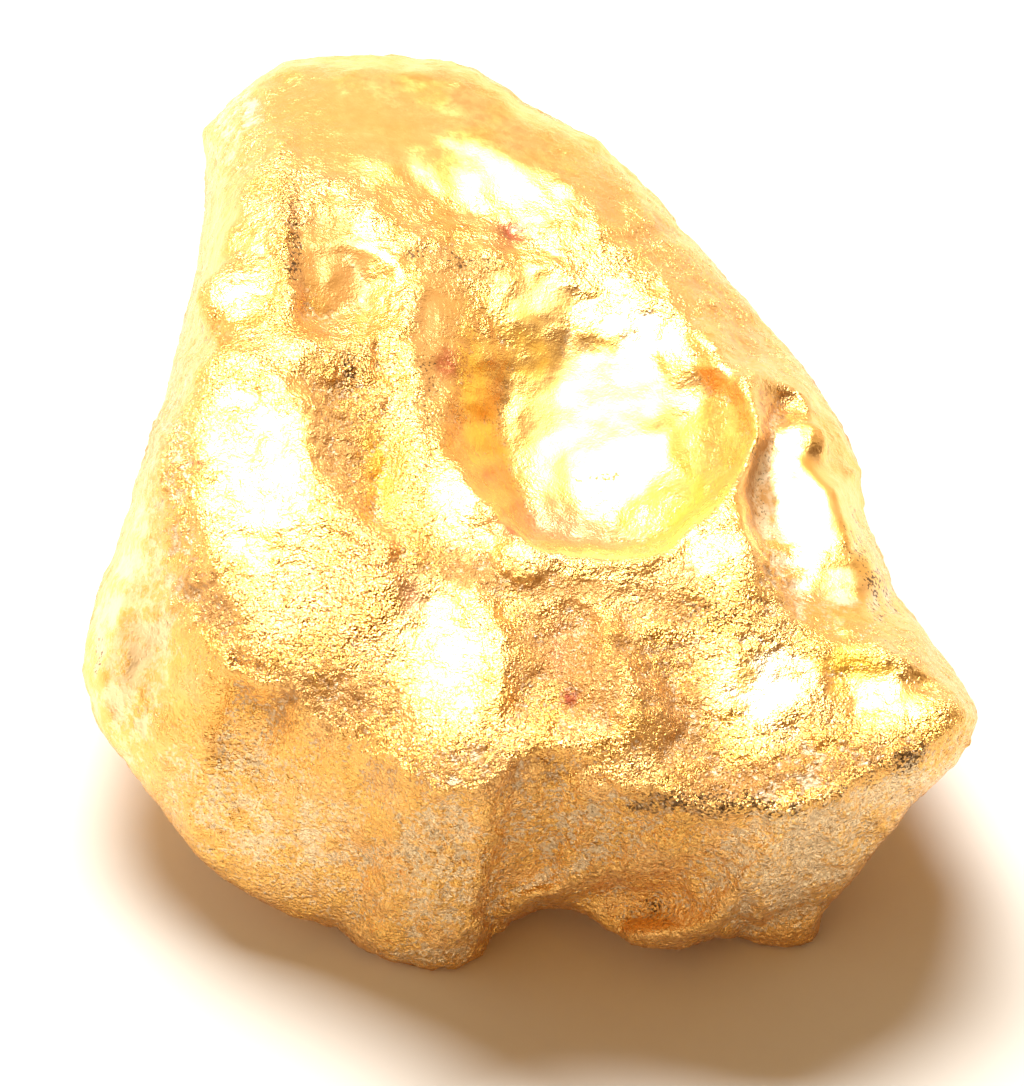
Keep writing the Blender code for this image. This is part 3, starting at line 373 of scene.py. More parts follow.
    ((690, 548, 4.46), (722, 528, 4.5), (740, 575, 4.42), (700, 592, 4.36), (655, 580, 4.44)),
    # The left flank.
    ((230, 130, 3.55), (228, 180, 3.9), (216, 240, 3.95), (205, 290, 3.92), (196, 340, 3.9), (180, 385, 3.95),
     (158, 440, 3.9), (146, 500, 3.85), (138, 560, 3.6), (120, 620, 3.2)),
    ((215, 130, 3.3), (214, 180, 3.4), (207, 240, 3.45), (196, 300, 3.4), (184, 350, 3.4), (166, 400, 3.4),
     (148, 460, 3.35), (132, 540, 3.2), (108, 610, 2.85), (100, 670, 2.7)),
)  # fmt: skip

# The runs on the upright sides, in front and on the left, as (sheet x, sheet y, place along Y) places in order.
UPRIGHT_RUNS = (
    # The left flank.
    ((150, 700, -2.6), (160, 650, -2.15), (185, 600, -1.9)),
    ((112, 715, -2.45), (150, 750, -3.0), (190, 800, -3.5)),
    ((205, 735, -3.3), (210, 765, -3.43), (214, 790, -3.54)),
    ((224, 742, -3.28), (238, 772, -3.5), (262, 792, -3.74)),
    ((250, 690, -3.08), (272, 710, -3.2), (262, 738, -3.34)),
    ((236, 668, -3.0), (296, 690, -3.5), (300, 735, -3.64), (262, 764, -3.52)),
    ((230, 850, -3.85), (270, 870, -4.05), (310, 890, -4.2), (345, 905, -4.35)),
    ((240, 820, -3.75), (300, 820, -4.0), (350, 830, -4.25)),
    ((330, 750, -3.95), (380, 770, -4.4), (330, 790, -4.12)),
    # The nose and the front wall.
    ((400, 780, -4.62), (395, 840, -4.66), (385, 880, -4.7), (384, 925, -4.78),
     (400, 950, -4.72)),
    ((366, 860, -4.32), (356, 910, -4.4)),
    ((440, 800, -4.82), (440, 860, -4.96), (436, 910, -5.05), (440, 950, -4.9)),
    ((494, 785, -4.88), (490, 840, -5.0), (480, 882, -5.06), (474, 925, -4.98)),
    ((510, 796, -4.74), (506, 850, -4.54), (494, 893, -4.44), (489, 922, -4.42)),
    ((556, 785, -4.6), (552, 835, -4.4), (546, 875, -4.34)),
    ((600, 785, -4.76), (605, 825, -4.64), (610, 850, -4.56)),
    ((512, 906, -4.52), (540, 894, -4.55), (570, 884, -4.56), (600, 874, -4.6),
     (640, 862, -4.72), (680, 852, -4.9)),
    # The curled lip under the front wall.
    ((575, 896, -4.26), (610, 890, -4.24), (645, 887, -4.28), (674, 896, -4.42)),
    ((600, 908, -4.32), (625, 918, -4.38), (655, 914, -4.42)),
    ((636, 936, -4.76), (662, 931, -4.82), (688, 930, -4.86)),
    # The wall under the right brow, and the under-face of the wing.
    ((660, 825, -4.8), (720, 835, -4.9), (756, 828, -4.96)),
    ((792, 812, -5.1), (765, 850, -5.14), (745, 885, -5.08), (705, 925, -4.96)),
    ((690, 870, -4.66), (722, 876, -4.74), (696, 900, -4.64)),
    ((850, 810, -4.68), (830, 850, -4.68), (800, 885, -4.72), (760, 915, -4.8)),
    ((920, 765, -4.1), (880, 805, -4.35), (850, 845, -4.5)),
    # The foot that stands behind the wing.
    ((742, 925, -4.3), (780, 914, -4.3), (812, 906, -4.25)),
    ((760, 936, -4.35), (785, 930, -4.4), (805, 925, -4.3)),
)  # fmt: skip


@dataclass
class Relief:
    """The side of the lump that faces the line of sight, as depths on a fine grid over the sheet.

    Attributes:
        step: The grid's spacing, in millimetres.
    """

    step: float = GRID_STEP

    def __post_init__(self) -> None:
        """Draws the runs, lets their lines wander, softens the creases and roughens the ground between."""
        self.low = np.array(SHEET_LOW)
        columns, rows = (int(span / self.step) for span in SHEET_SPAN)
        spots = np.stack(np.meshgrid(np.arange(columns), np.arange(rows)), -1) * self.step + self.low
        self.grid = np.zeros((rows, columns))
        rim = np.array([on_sheet(x, y) for x, y, _ in OUTLINE])
        self.draw(rim)
        wander = np.stack([layered(spots, LINE_WANDER, salt) for salt in (1, 5)], -1)
        self.grid = self.look_up(self.grid, *np.moveaxis(spots + wander, -1, 0))
        self.grid = soften(self.grid, CREASE_ROUNDING / self.step)
        self.grid += layered(spots, GROUND, 11)
        slope_up, slope_across = np.gradient(self.grid, self.step)
        self.stretch = np.sqrt(1.0 + np.minimum(np.hypot(slope_up, slope_across), STEEPEST) ** 2)
        self.beyond = beyond_loop(spots + 0.4 * wander, rim)

    def draw(self, rim: np.ndarray) -> None:
        """Joins the runs into triangles and writes their depths on to the grid.

        Args:
            rim: The outline's corners on the sheet, in millimetres.
        """
        flat, depth, edges = [], [], []
        upright = [[wall(*place) for place in run] for run in UPRIGHT_RUNS]
        for run, closed in [(OUTLINE, True), *((run, False) for run in (*RUNS, *upright))]:
            start = len(flat)
            for x, y, height in run:
                across, up = on_sheet(x, y)
                flat.append(Vector((across, up)))
                depth.append(depth_at(up, height))
            edges += [(i, i + 1) for i in range(start, len(flat) - 1)]
            if closed:
                edges.append((len(flat) - 1, start))
        along = np.roll(rim, -1, axis=0) - np.roll(rim, 1, axis=0)
        outward = np.stack([-along[:, 1], along[:, 0]], -1) / np.linalg.norm(along, axis=1)[:, None]
        for i, place in enumerate(rim + outward * RIM_FLAP):
            if not inside_loop(place, rim):
                flat.append(Vector(place))
                depth.append(depth[i] - FLAP_FALL)
        corners, _, faces, origins, _, _ = geometry.delaunay_2d_cdt(flat, edges, [], 0, 1e-5)
        corners = np.array([tuple(corner) for corner in corners])
        known = np.array([np.mean([depth[i] for i in origin]) if origin else np.nan for origin in origins])
        for i in np.flatnonzero(np.isnan(known)):
            gap = np.linalg.norm(corners - corners[i], axis=1)
            gap[np.isnan(known)] = np.inf
            nearest = np.argsort(gap)[:2]
            known[i] = np.average(known[nearest], weights=1.0 / (gap[nearest] + 1e-6))
        for face in faces:
            self.fill(corners[list(face)], known[list(face)])

    def fill(self, corners: np.ndarray, depths: np.ndarray) -> None:
        """Writes one triangle of the relief on to the grid.

        Args:
            corners: The triangle's three places on the sheet.
            depths: The depth at each of them.
        """
        low = np.floor((corners.min(0) - self.low) / self.step).astype(int)
        high = np.ceil((corners.max(0) - self.low) / self.step).astype(int) + 1
        across, up = np.meshgrid(np.arange(low[0], high[0]), np.arange(low[1], high[1]))
        spots = np.stack([across, up], -1) * self.step + self.low - corners[0]
        span = np.array([corners[1] - corners[0], corners[2] - corners[0]])
        if abs(np.linalg.det(span)) < 1e-9:
            return
        share = spots @ np.linalg.inv(span)
        within = (share.min(-1) > -1e-6) & (share.sum(-1) < 1.0 + 1e-6)
        value = depths[0] + share @ (depths[1:] - depths[0])
        self.grid[up[within], across[within]] = value[within]

    def look_up(self, table: np.ndarray, across: np.ndarray, up: np.ndarray) -> np.ndarray:
        """Reads a table of the grid between its points.

        Args:
            table: The table.
            across: How far across the sheet each place is.
            up: How far up the sheet each place is.

        Returns:
            The value at each place.
        """
        place_up = np.clip((up - self.low[1]) / self.step, 0, table.shape[0] - 1.001)
        place_across = np.clip((across - self.low[0]) / self.step, 0, table.shape[1] - 1.001)
        row, column = place_up.astype(int), place_across.astype(int)
        down, along = place_up - row, place_across - column
        near = table[row, column] * (1 - along) + table[row, column + 1] * along
        far = table[row + 1, column] * (1 - along) + table[row + 1, column + 1] * along
        return near * (1 - down) + far * down

    def distance(self, points: np.ndarray) -> np.ndarray:
        """The rough distance of points from the relief's side, negative inside the lump.

        Args:
            points: The points, in millimetres.

        Returns:
            One distance for each point.
        """
        across, up, depth = across_up_depth(points)
        face = (depth - self.look_up(self.grid, across, up)) / self.look_up(self.stretch, across, up)
        return smooth_max(face, self.look_up(self.beyond, across, up), RIM_ROUNDING)

    def skin(self, x: float, y: float, lift: float = 0.0) -> np.ndarray:
        """The point of the skin under a sheet place, lifted this far towards the eye.

        Args:
            x: Sheet x.
            y: Sheet y, running down.
            lift: How far the point is lifted.

        Returns:
            The point's coordinates.
        """
        across, up = on_sheet(x, y)
        depth = self.look_up(self.grid, np.array([across]), np.array([up]))[0]
        return from_sheet(across, up, depth + lift)


def beyond_loop(spots: np.ndarray, loop: np.ndarray) -> np.ndarray:
    """How far each spot lies outside a closed loop of corners, negative inside it.

    Args:
        spots: The spots on the sheet.
        loop: The corners in order.

    Returns:
        One distance for each spot.
    """
    gap = np.full(spots.shape[:-1], np.inf)
    inside = np.zeros(spots.shape[:-1], bool)
    for here, ahead in zip(loop, np.roll(loop, -1, axis=0)):
        edge, away = ahead - here, spots - here
        share = np.clip(away @ edge / (edge @ edge), 0.0, 1.0)
        gap = np.minimum(gap, np.linalg.norm(away - share[..., None] * edge, axis=-1))
        if here[1] != ahead[1]:
            crossed = (here[1] > spots[..., 1]) != (ahead[1] > spots[..., 1])
            inside ^= crossed & (away[..., 0] < away[..., 1] / edge[1] * edge[0])
    return np.where(inside, -gap, gap)


def inside_loop(place: np.ndarray, loop: np.ndarray) -> bool:
    """Whether a place lies inside a closed loop of corners.

    Args:
        place: The place on the sheet.
        loop: The corners in order.

    Returns:
        True if it lies inside.
    """
    ahead = np.roll(loop, -1, axis=0)
    spans = (loop[:, 1] > place[1]) != (ahead[:, 1] > place[1])
    rise = np.where(spans, ahead[:, 1] - loop[:, 1], 1.0)
    cross = loop[:, 0] + (place[1] - loop[:, 1]) / rise * (ahead[:, 0] - loop[:, 0])
    return np.count_nonzero(spans & (place[0] < cross)) % 2 == 1


def soften(table: np.ndarray, width: float) -> np.ndarray:
    """Blurs a table by a bell curve this many steps wide.

    Args:
        table: The table.
        width: How many steps wide the curve is.

    Returns:
        The blurred table.
    """
    reach = int(3 * width) + 1
    bell = np.exp(-0.5 * (np.arange(-reach, reach + 1) / width) ** 2)
    bell /= bell.sum()
    for axis in (0, 1):
        table = np.apply_along_axis(np.convolve, axis, table, bell, "same")
    return table


@dataclass(frozen=True)
class Facet:
    """A broad, nearly flat side of the body: a half space that ends at a plane."""

    at: tuple
    faces: tuple
    blend: float = 0.35

    def apply(self, body: np.ndarray, points: np.ndarray) -> np.ndarray:
        """The body's distances once this side has cut it.

        Args:
            body: The distance of each point from the body.
            points: The points, in millimetres.

        Returns:
            The new distances.
        """
        normal = np.array(self.faces, float)
        normal /= np.linalg.norm(normal)
        return smooth_max(body, (points - np.array(self.at, float)) @ normal, self.blend)


@dataclass(frozen=True)
class Belly:
    """The underside: flat in the middle, curling up to the edge, and down again at the feet."""

    middle: tuple = (-0.5, 1.0)
    radii: tuple = (2.7, 3.2)
    curl: float = 0.62
    feet: tuple = ((-1.0, -4.4, 1.4), (3.3, -4.3, 1.3), (-0.8, 4.2, 1.6))
    blend: float = 0.12

    def apply(self, body: np.ndarray, points: np.ndarray) -> np.ndarray:
        """The body's distances once the underside has cut it.

        Args:
            body: The distance of each point from the body.
            points: The points, in millimetres.

        Returns:
            The new distances.
        """
        away = np.linalg.norm((points[:, :2] - self.middle) / self.radii, axis=1)
        rise = self.curl * np.maximum(away - 1.0, 0.0) ** 1.2
        for x, y, reach in self.feet:
            rise *= 1.0 - np.exp(-((points[:, 0] - x) ** 2 + (points[:, 1] - y) ** 2) / reach**2)
        return smooth_max(body, (rise - points[:, 2]) * 0.85, self.blend)


@dataclass(frozen=True)
class Blob:
    """A rounded lump on the skin under a sheet place."""

    sheet: tuple
    radii: tuple
    lift: float = 0.0
    blend: float = 0.12

    def apply(self, body: np.ndarray, points: np.ndarray, relief: Relief) -> np.ndarray:
        """The body's distances once this lump is on it."""
        return merge_ball(body, points, relief.skin(*self.sheet, self.lift), self.radii, self.blend, False)


@dataclass(frozen=True)
class Scoop:
    """A rounded hollow that a pebble pressed into a side of the body."""

    middle: tuple
    radii: tuple
    blend: float = 0.25

    def apply(self, body: np.ndarray, points: np.ndarray) -> np.ndarray:
        """The body's distances once this hollow is pressed into it."""
        return merge_ball(body, points, np.array(self.middle), self.radii, self.blend, True)


def merge_ball(
    body: np.ndarray, points: np.ndarray, middle: np.ndarray, radii: tuple, blend: float, hollow: bool
) -> np.ndarray:
    """Adds an ellipsoid to the body or, where hollow is true, takes it away.

    Args:
        body: Distances of the points from the body so far.
        points: The points, in millimetres.
        middle: The ellipsoid's middle.
        radii: Its half axes along X, Y and Z.
        blend: The width of the rounding where it meets the body.
        hollow: Whether it is taken away.

    Returns:
        The new distances.
    """
    radii = np.array(radii, float)
    near = np.linalg.norm(points - middle, axis=1) < radii.max() + blend + BALL_REACH
    local = points[near] - middle
    k0 = np.linalg.norm(local / radii, axis=1)
    k1 = np.linalg.norm(local / radii**2, axis=1)
    gap = k0 * (k0 - 1.0) / np.maximum(k1, 1e-9)
    body = body.copy()
    body[near] = smooth_max(body[near], -gap, blend) if hollow else smooth_min(body[near], gap, blend)
    return body


FACETS = (
    Facet((-3.9, 7.3, 2.4), (-0.62, 0.74, 0.10)),
    Facet((-1.6, 8.0, 2.4), (0.02, 0.99, 0.05)),
    Facet((2.4, 5.4, 2.2), (0.72, 0.69, -0.05)),
    Facet((4.75, 0.4, 2.4), (0.93, 0.37, -0.08)),
    Facet((-5.2, 0.9, 1.6), (-0.70, 0.10, -0.70)),
    Facet((-4.3, 4.5, 1.6), (-0.75, 0.15, -0.65)),
    Facet((5.7, -2.0, 1.4), (0.60, 0.10, -0.78)),
    Facet((3.5, 2.0, 1.3), (0.62, 0.25, -0.75)),
    Facet((-1.0, 7.3, 1.2), (0.0, 0.60, -0.80)),
)

BLOBS = (
    Blob((523, 562), (0.3, 0.28, 0.12), lift=-0.06, blend=0.16),
    Blob((800, 443), (0.34, 0.3, 0.22), lift=-0.15, blend=0.16),
    Blob((235, 300), (0.5, 0.5, 0.3), lift=-0.2, blend=0.25),
)


# The sides that lie away from the sight line, in millimetres from the sheet's middle: pressed hollows
# on the back, down the long right side, along the left and round the edge of the underside.
SCOOPS = (
    Scoop((-2.5, 8.45, 1.5), (1.1, 0.9, 0.8)),
    Scoop((-0.5, 8.2, 2.1), (0.8, 0.55, 0.5)),
    Scoop((1.7, 7.0, 1.3), (1.0, 1.0, 0.8)),
    Scoop((3.0, 5.45, 2.0), (0.7, 0.8, 0.6)),
    Scoop((4.0, 3.3, 1.1), (1.0, 1.1, 0.9)),
    Scoop((4.75, 1.4, 1.9), (0.6, 0.8, 0.5)),
    Scoop((5.2, -1.1, 0.8), (0.9, 0.9, 0.8)),
    Scoop((-4.9, 5.9, 1.3), (0.9, 1.3, 0.8)),
    Scoop((-5.2, 3.4, 1.1), (0.9, 0.9, 0.7)),
    Scoop((-5.3, 1.1, 0.6), (0.9, 1.1, 0.7)),
    Scoop((1.4, 4.9, -0.3), (1.0, 1.3, 0.7)),
    Scoop((-3.3, 2.4, -0.25), (0.9, 1.2, 0.7)),
    Scoop((0.9, -1.9, -0.35), (1.3, 0.9, 0.75)),
    Scoop((2.6, 1.3, -0.3), (0.8, 1.1, 0.7)),
)


class Lump:
    """The whole form, as a signed distance that is negative inside it."""

    def __init__(self) -> None:
        """Makes the relief that the rest of the form is added to."""
        self.relief = Relief()

    def distance(self, points: np.ndarray) -> np.ndarray:
        """The rough distance of each point from the skin, in millimetres.

        Args:
            points: The points, in millimetres.

        Returns:
            One distance for each point.
        """
        body = self.relief.distance(points)
        for facet in FACETS:
            body = facet.apply(body, points)
        for blob in BLOBS:
            body = blob.apply(body, points, self.relief)
        for scoop in SCOOPS:
            body = scoop.apply(body, points)
        return Belly().apply(body, points)

    def gradient(self, points: np.ndarray) -> tuple[np.ndarray, np.ndarray]:
        """The distance at each point, and how it changes along X, Y and Z.

        Args:
            points: The points, in millimetres.

        Returns:
            The distances, and a row of three slopes for each point.
        """
        here = self.distance(points)
        slope = np.empty_like(points)
        for axis in range(3):
            moved = points.copy()
            moved[:, axis] += GRADIENT_STEP
            slope[:, axis] = (self.distance(moved) - here) / GRADIENT_STEP
        return here, slope


@dataclass(frozen=True)
class SkinNet:
    """Finds the form's skin: a vertex in each lattice cell that it crosses, a quad round each crossed edge.

    Attributes:
        cell: The lattice's spacing, in millimetres.
    """

    cell: float = 0.0512
    coarse: int = 6

    def values(self, lump: Lump, shape: np.ndarray) -> np.ndarray:
        """The form's distances on the lattice, exact near the skin and rough elsewhere.

        Args:
            lump: The form.
            shape: How many lattice points lie along X, Y and Z, a multiple of the block width.

        Returns:
            The distances, in the lattice's order.
        """
        low = np.array(BOX_LOW)
        blocks = shape // self.coarse
        spots = np.stack(np.meshgrid(*(np.arange(n) for n in blocks), indexing="ij"), -1).reshape(-1, 3)
        middles = low + (spots + 0.5 - 0.5 / self.coarse) * self.cell * self.coarse
        rough = lump.distance(middles).reshape(blocks)
        values = np.repeat(np.repeat(np.repeat(rough, self.coarse, 0), self.coarse, 1), self.coarse, 2)
        near = np.argwhere(np.abs(values) < self.cell * self.coarse * 1.6)
        found = [lump.distance(part * self.cell + low) for part in np.array_split(near, 24)]
        values[tuple(near.T)] = np.concatenate(found)
        return values

    def mesh(self, lump: Lump) -> bpy.types.Mesh:
        """Makes the mesh of the form's skin, in millimetres.

        Args:
            lump: The form.

        Returns:
            The mesh.
        """
        low, high = np.array(BOX_LOW), np.array(BOX_HIGH)
        shape = (np.ceil((high - low) / self.cell / self.coarse).astype(int) + 1) * self.coarse
        values = self.values(lump, shape)
        total = np.zeros((values.size, 3))
        count = np.zeros(values.size)
        stride = np.array([shape[1] * shape[2], shape[2], 1])
        rings, turned = [], []
        for axis in range(3):
            here = np.take(values, range(shape[axis] - 1), axis)
            ahead = np.take(values, range(1, shape[axis]), axis)
            crossed = np.argwhere((here < 0) != (ahead < 0))
            a, b = here[tuple(crossed.T)], ahead[tuple(crossed.T)]
            place = crossed.astype(float)
            place[:, axis] += a / (a - b)
            side, other = stride[(axis + 1) % 3], stride[(axis + 2) % 3]
            base = crossed @ stride
            ring = np.stack([base, base - side, base - side - other, base - other], 1)
            for corner in ring.T:
                for k in range(3):
                    total[:, k] += np.bincount(corner, place[:, k], values.size)
                count += np.bincount(corner, minlength=values.size)
            rings.append(ring)
            turned.append(a < 0)
        rings, turned = np.concatenate(rings), np.concatenate(turned)
        rings[~turned] = rings[~turned][:, ::-1]
        used = np.flatnonzero(count)
        index = np.zeros(values.size, int)
        index[used] = np.arange(len(used))
        mesh = bpy.data.meshes.new("nugget_skin")
        points = total[used] / count[used, None] * self.cell + low
        mesh.from_pydata(points.tolist(), [], index[rings].tolist())
        mesh.update()
        return mesh


def coordinates(mesh: bpy.types.Mesh) -> np.ndarray:
    """The mesh's vertices as rows of an array.

    Args:
        mesh: The mesh.

    Returns:
        One row of coordinates for each vertex.
    """
    flat = np.empty(len(mesh.vertices) * 3, np.float32)
    mesh.vertices.foreach_get("co", flat)
    return flat.reshape(-1, 3).astype(float)


def set_coordinates(mesh: bpy.types.Mesh, points: np.ndarray) -> None:
    """Moves the mesh's vertices to the rows of an array."""
    mesh.vertices.foreach_set("co", points.astype(np.float32).ravel())
    mesh.update()


def vertex_normals(mesh: bpy.types.Mesh) -> np.ndarray:
    """The mesh's vertex normals as rows of an array.

    Args:
        mesh: The mesh.

    Returns:
        One normal for each vertex.
    """
    flat = np.empty(len(mesh.vertices) * 3, np.float32)
    mesh.vertex_normals.foreach_get("vector", flat)
    return flat.reshape(-1, 3).astype(float)


class Mark(Enum):
    """What discolours or roughens the gold in places, or paints shade, bounce light and highlights into its colour.
    The value is the mesh attribute that the finish reads.
    """

    # Dark clay in specks, and painted shade along the brow, on the hump below the pocket and under the curled lip.
    DIRT_AND_SHADE = "dirt"
    RUST = "rust"
    ROSE = "rose"
    COARSE = "coarse"
    SMOOTH = "smooth"
    # Painted reflection: deeper gold where light bounces between the walls of channels and hollows.
    PAINTED_BOUNCE = "deep"
    OCHRE = "ochre"
    # Painted highlight and reflection: paler gold where the walls reflect the lit floor and where glare whitens.
    PAINTED_HIGHLIGHT = "pale"
    HOLLOW = "hollow"


@dataclass(frozen=True)
class Patch:
    """An oval patch of a mark on the sheet, in sheet units: its middle, its half sizes, how strong it is in the
    middle, and how far it is turned anticlockwise, in degrees.
    """

    x: float
    y: float
    half_width: float
    half_height: float
    strength: float = 1.0
    turn: float = 0.0

    def cover(self, across: np.ndarray, up: np.ndarray) -> np.ndarray:
        """How strongly the patch covers each place, before the noise that breaks up its edge.

        Args:
            across: How far across the sheet each place is.
            up: How far up the sheet each place is.

        Returns:
            A strength for each place.
        """
        middle = on_sheet(self.x, self.y)
        turn = math.radians(self.turn)
        right, rise = across - middle[0], up - middle[1]
        along = (right * math.cos(turn) + rise * math.sin(turn)) / (self.half_width * SHEET_UNIT)
        cross = (rise * math.cos(turn) - right * math.sin(turn)) / (self.half_height * SHEET_UNIT)
        return self.strength * np.clip(1.4 - np.hypot(along, cross), 0.0, 1.0)


# Where each mark lies on the sheet, as (x, y, half width, half height, strength, turn) of its oval patches. A patch
# has full strength and no turn where the last two aren't given.
PATCHES = {
    # Coarse, knobbly skin: the nose, the front wall, the trough, the lower brow and the left margin.
    Mark.COARSE: (
        (440, 880, 80, 115), (450, 775, 130, 40, 0.35), (610, 825, 150, 55), (680, 710, 55, 90, 0.35, 20),
        (670, 590, 60, 40, 0.2), (345, 415, 38, 75, 0.9), (575, 660, 65, 75, 0.3), (480, 573, 95, 22, 0.5, -8),
        (330, 695, 85, 45, 0.5, -10), (172, 500, 26, 90, 0.5), (205, 600, 50, 55, 0.5, 30),
        (800, 775, 175, 22, 0.9, 12), (765, 640, 45, 30, 0.6), (810, 735, 40, 30, 0.6),
        (760, 590, 26, 60, 0.7, -20), (790, 850, 110, 70, 0.6, 30), (285, 230, 14, 90, 0.6),
    ),
    # Smoother, rubbed skin: the back slope, the great hollow, the two white faces and the left flank.
    Mark.SMOOTH: (
        (440, 130, 240, 110, 1.0, -20), (600, 420, 165, 160), (350, 270, 75, 75, 0.8), (440, 340, 40, 90, 0.6),
        (800, 500, 80, 120, 1.0, 20), (850, 590, 70, 60, 0.95), (540, 300, 60, 60, 0.95),
        (130, 640, 70, 160, 0.8, -10), (240, 260, 60, 90, 0.6), (265, 470, 70, 130, 0.74), (450, 650, 55, 75, 0.76),
        (460, 500, 35, 40, 0.74), (885, 695, 60, 30, 0.82), (762, 682, 56, 56, 0.86), (712, 550, 40, 40, 0.7),
    ),
    # Dark dirt packed along edges and in recesses. Some patches are painted shade: the dark band along the front
    # brow's rounded edge, the shaded side of the hump below the pocket and the recess under the curled lip.
    Mark.DIRT_AND_SHADE: (
        # Painted shade: (350, 372) on the hump, (705, 802) and (878, 770) along the brow, (645, 905) and (640, 900)
        # under the lip.
        (292, 240, 12, 70, 0.8), (350, 372, 16, 24, 0.7), (430, 400, 14, 75, 0.6, 5), (760, 470, 18, 110, 0.5, -5),
        (700, 612, 60, 16, 0.6), (875, 570, 28, 95, 0.7, 12), (705, 802, 115, 19, 0.9),
        (878, 770, 100, 17, 0.7, 26), (645, 905, 44, 13, 0.65, -16), (440, 255, 90, 16, 0.6, -10),
        (420, 108, 60, 14, 0.4), (450, 230, 60, 12, 0.4, -8), (600, 478, 42, 5, 0.9, 6), (100, 655, 10, 26, 0.6),
        (500, 262, 46, 12, 0.6, -12), (640, 900, 50, 10, 0.5, 4), (215, 845, 14, 5, 0.6, 40),
        (285, 870, 14, 4, 0.5, 40),
    ),
    # Rust-red and orange iron stains.
    Mark.RUST: (
        (512, 232, 16, 12, 0.9), (792, 410, 16, 14, 0.5), (450, 362, 14, 16, 0.8), (200, 466, 9, 7, 0.9),
        (568, 697, 12, 8), (512, 532, 12, 9, 0.7), (712, 430, 10, 60, 0.3), (735, 320, 20, 50, 0.3, 30),
    ),
    # Rose film left by iron oxide in the sheltered skin.
    Mark.ROSE: (
        (572, 532, 80, 28, 1.0, -14), (512, 226, 34, 18, 0.7), (490, 480, 16, 20, 0.5), (413, 600, 14, 26, 0.8),
        (560, 655, 20, 34),
    ),
    # Painted reflection: a deeper, richer gold in the sheltered channels, hollows and pits, standing in for the
    # light that bounces between their gold walls.
    Mark.PAINTED_BOUNCE: (
        (476, 400, 24, 100, 1.0, 12), (500, 500, 14, 40, 0.6, 35), (516, 350, 50, 44, 0.6, -10),
        (378, 470, 18, 50, 0.9, 8), (852, 664, 40, 16, 1.0, -8), (838, 686, 10, 16, 0.8), (700, 420, 40, 36, 0.4),
        (595, 430, 70, 70, 0.3), (315, 300, 14, 24, 0.8),
    ),
    # A thin ochre film of clay and iron oxide, worn off the crests of the grain.
    Mark.OCHRE: (
        (328, 262, 42, 62), (438, 335, 32, 90), (332, 440, 28, 95, 0.9, 14), (480, 573, 85, 20, 0.8, -8),
        (535, 655, 24, 60, 0.9), (595, 668, 48, 75, 0.9), (670, 602, 44, 38, 0.7), (662, 725, 52, 85, 0.8, 20),
        (860, 602, 45, 34, 0.4, -20), (212, 600, 36, 60, 0.6, 30), (178, 500, 16, 110, 0.5),
        (330, 692, 80, 40, 0.8, -10), (470, 768, 95, 28, 0.8), (585, 825, 90, 50, 0.25),
        (565, 588, 60, 16, 1.0, -4), (340, 120, 150, 60, 0.85, -10), (630, 215, 28, 130, 0.6, 42),
        (465, 262, 85, 22, 0.8, -10), (788, 585, 24, 60, 0.7, 25), (758, 480, 15, 85, 0.9, -4),
        (760, 780, 160, 24, 0.9, 10),
    ),
    # Painted highlight and reflection: a paler gold on the undercut walls, the front, the left flank and some
    # slopes, standing in for the lit floor that they reflect and for glare.
    Mark.PAINTED_HIGHLIGHT: (
        (800, 850, 100, 66, 0.8, 40), (900, 785, 90, 26, 0.7, 30), (438, 870, 52, 100, 0.6),
        (460, 768, 110, 34, 0.25), (580, 822, 80, 40, 0.4), (765, 690, 50, 50, 0.6), (180, 490, 28, 120, 0.35),
        (850, 590, 50, 50, 0.4), (640, 340, 70, 50, 0.5), (790, 530, 40, 90, 0.5, 10), (130, 640, 46, 150, 0.7, -8),
        (265, 820, 130, 70, 0.5, -28), (425, 955, 60, 16, 0.7), (545, 880, 80, 10, 0.7, 28),
        (225, 120, 40, 70, 0.5, -20),
    ),
}  # fmt: skip


@dataclass(frozen=True)
class SkinWork:
    """The fine skin of natural gold, pressed, folded and rubbed in the river bed.

    Attributes:
        swells: Broad unevenness over the whole skin, as (cell size, height) in millimetres.
        lumps: Further unevenness where the skin is coarse, in the same form.
        wrinkle_cells: Sizes of the folded wrinkles, largest first, in millimetres.
        wrinkle_height: Height of the largest wrinkles. Smaller ones are lower in proportion to their size.
        grain_cell: Width of the knobbly grains where the skin is coarse.
        grain_height: How far those grains stand out.
        pit_cell: Spacing of the small pits.
        pit_depth: How deep they go.
    """

    swells: tuple = ((0.55, 0.012), (0.28, 0.007))
    lumps: tuple = ((0.42, 0.06), (0.22, 0.045))
    wrinkle_cells: tuple = (0.17, 0.105)
    wrinkle_height: float = 0.022
    grain_cell: float = 0.2
    grain_height: float = 0.075
    pit_cell: float = 0.34
    pit_depth: float = 0.02

    def push(self, points: np.ndarray, marks: dict[Mark, np.ndarray]) -> np.ndarray:
        """How far the skin is pushed out at each point.

        Args:
            points: The points of the skin, in millimetres.
            marks: How strongly each mark covers each point.

        Returns:
            One height for each point, in millimetres.
        """
        rough = np.maximum(0.6 - 0.55 * marks[Mark.SMOOTH] + 0.6 * marks[Mark.COARSE], 0.05)
        bent = points + 0.05 * np.stack([ripple(points, 0.3, 61 + axis) for axis in range(3)], -1)
        total = layered(bent, self.swells, 31) + marks[Mark.COARSE] * layered(bent, self.lumps, 37)
        for k, cell in enumerate(self.wrinkle_cells):
            fold = 0.42 - np.abs(ripple(bent, cell, 41 + k))
            total = total + rough * self.wrinkle_height * (cell / self.wrinkle_cells[0]) * fold * 2.0
        grains = pebbled(bent, self.grain_cell, 51) - 0.6
        total = total + self.grain_height * marks[Mark.COARSE] * grains
        pits = np.clip(ripple(bent, self.pit_cell, 55) - 0.42, 0.0, 0.4) / 0.4
        return total - self.pit_depth * pits * rough


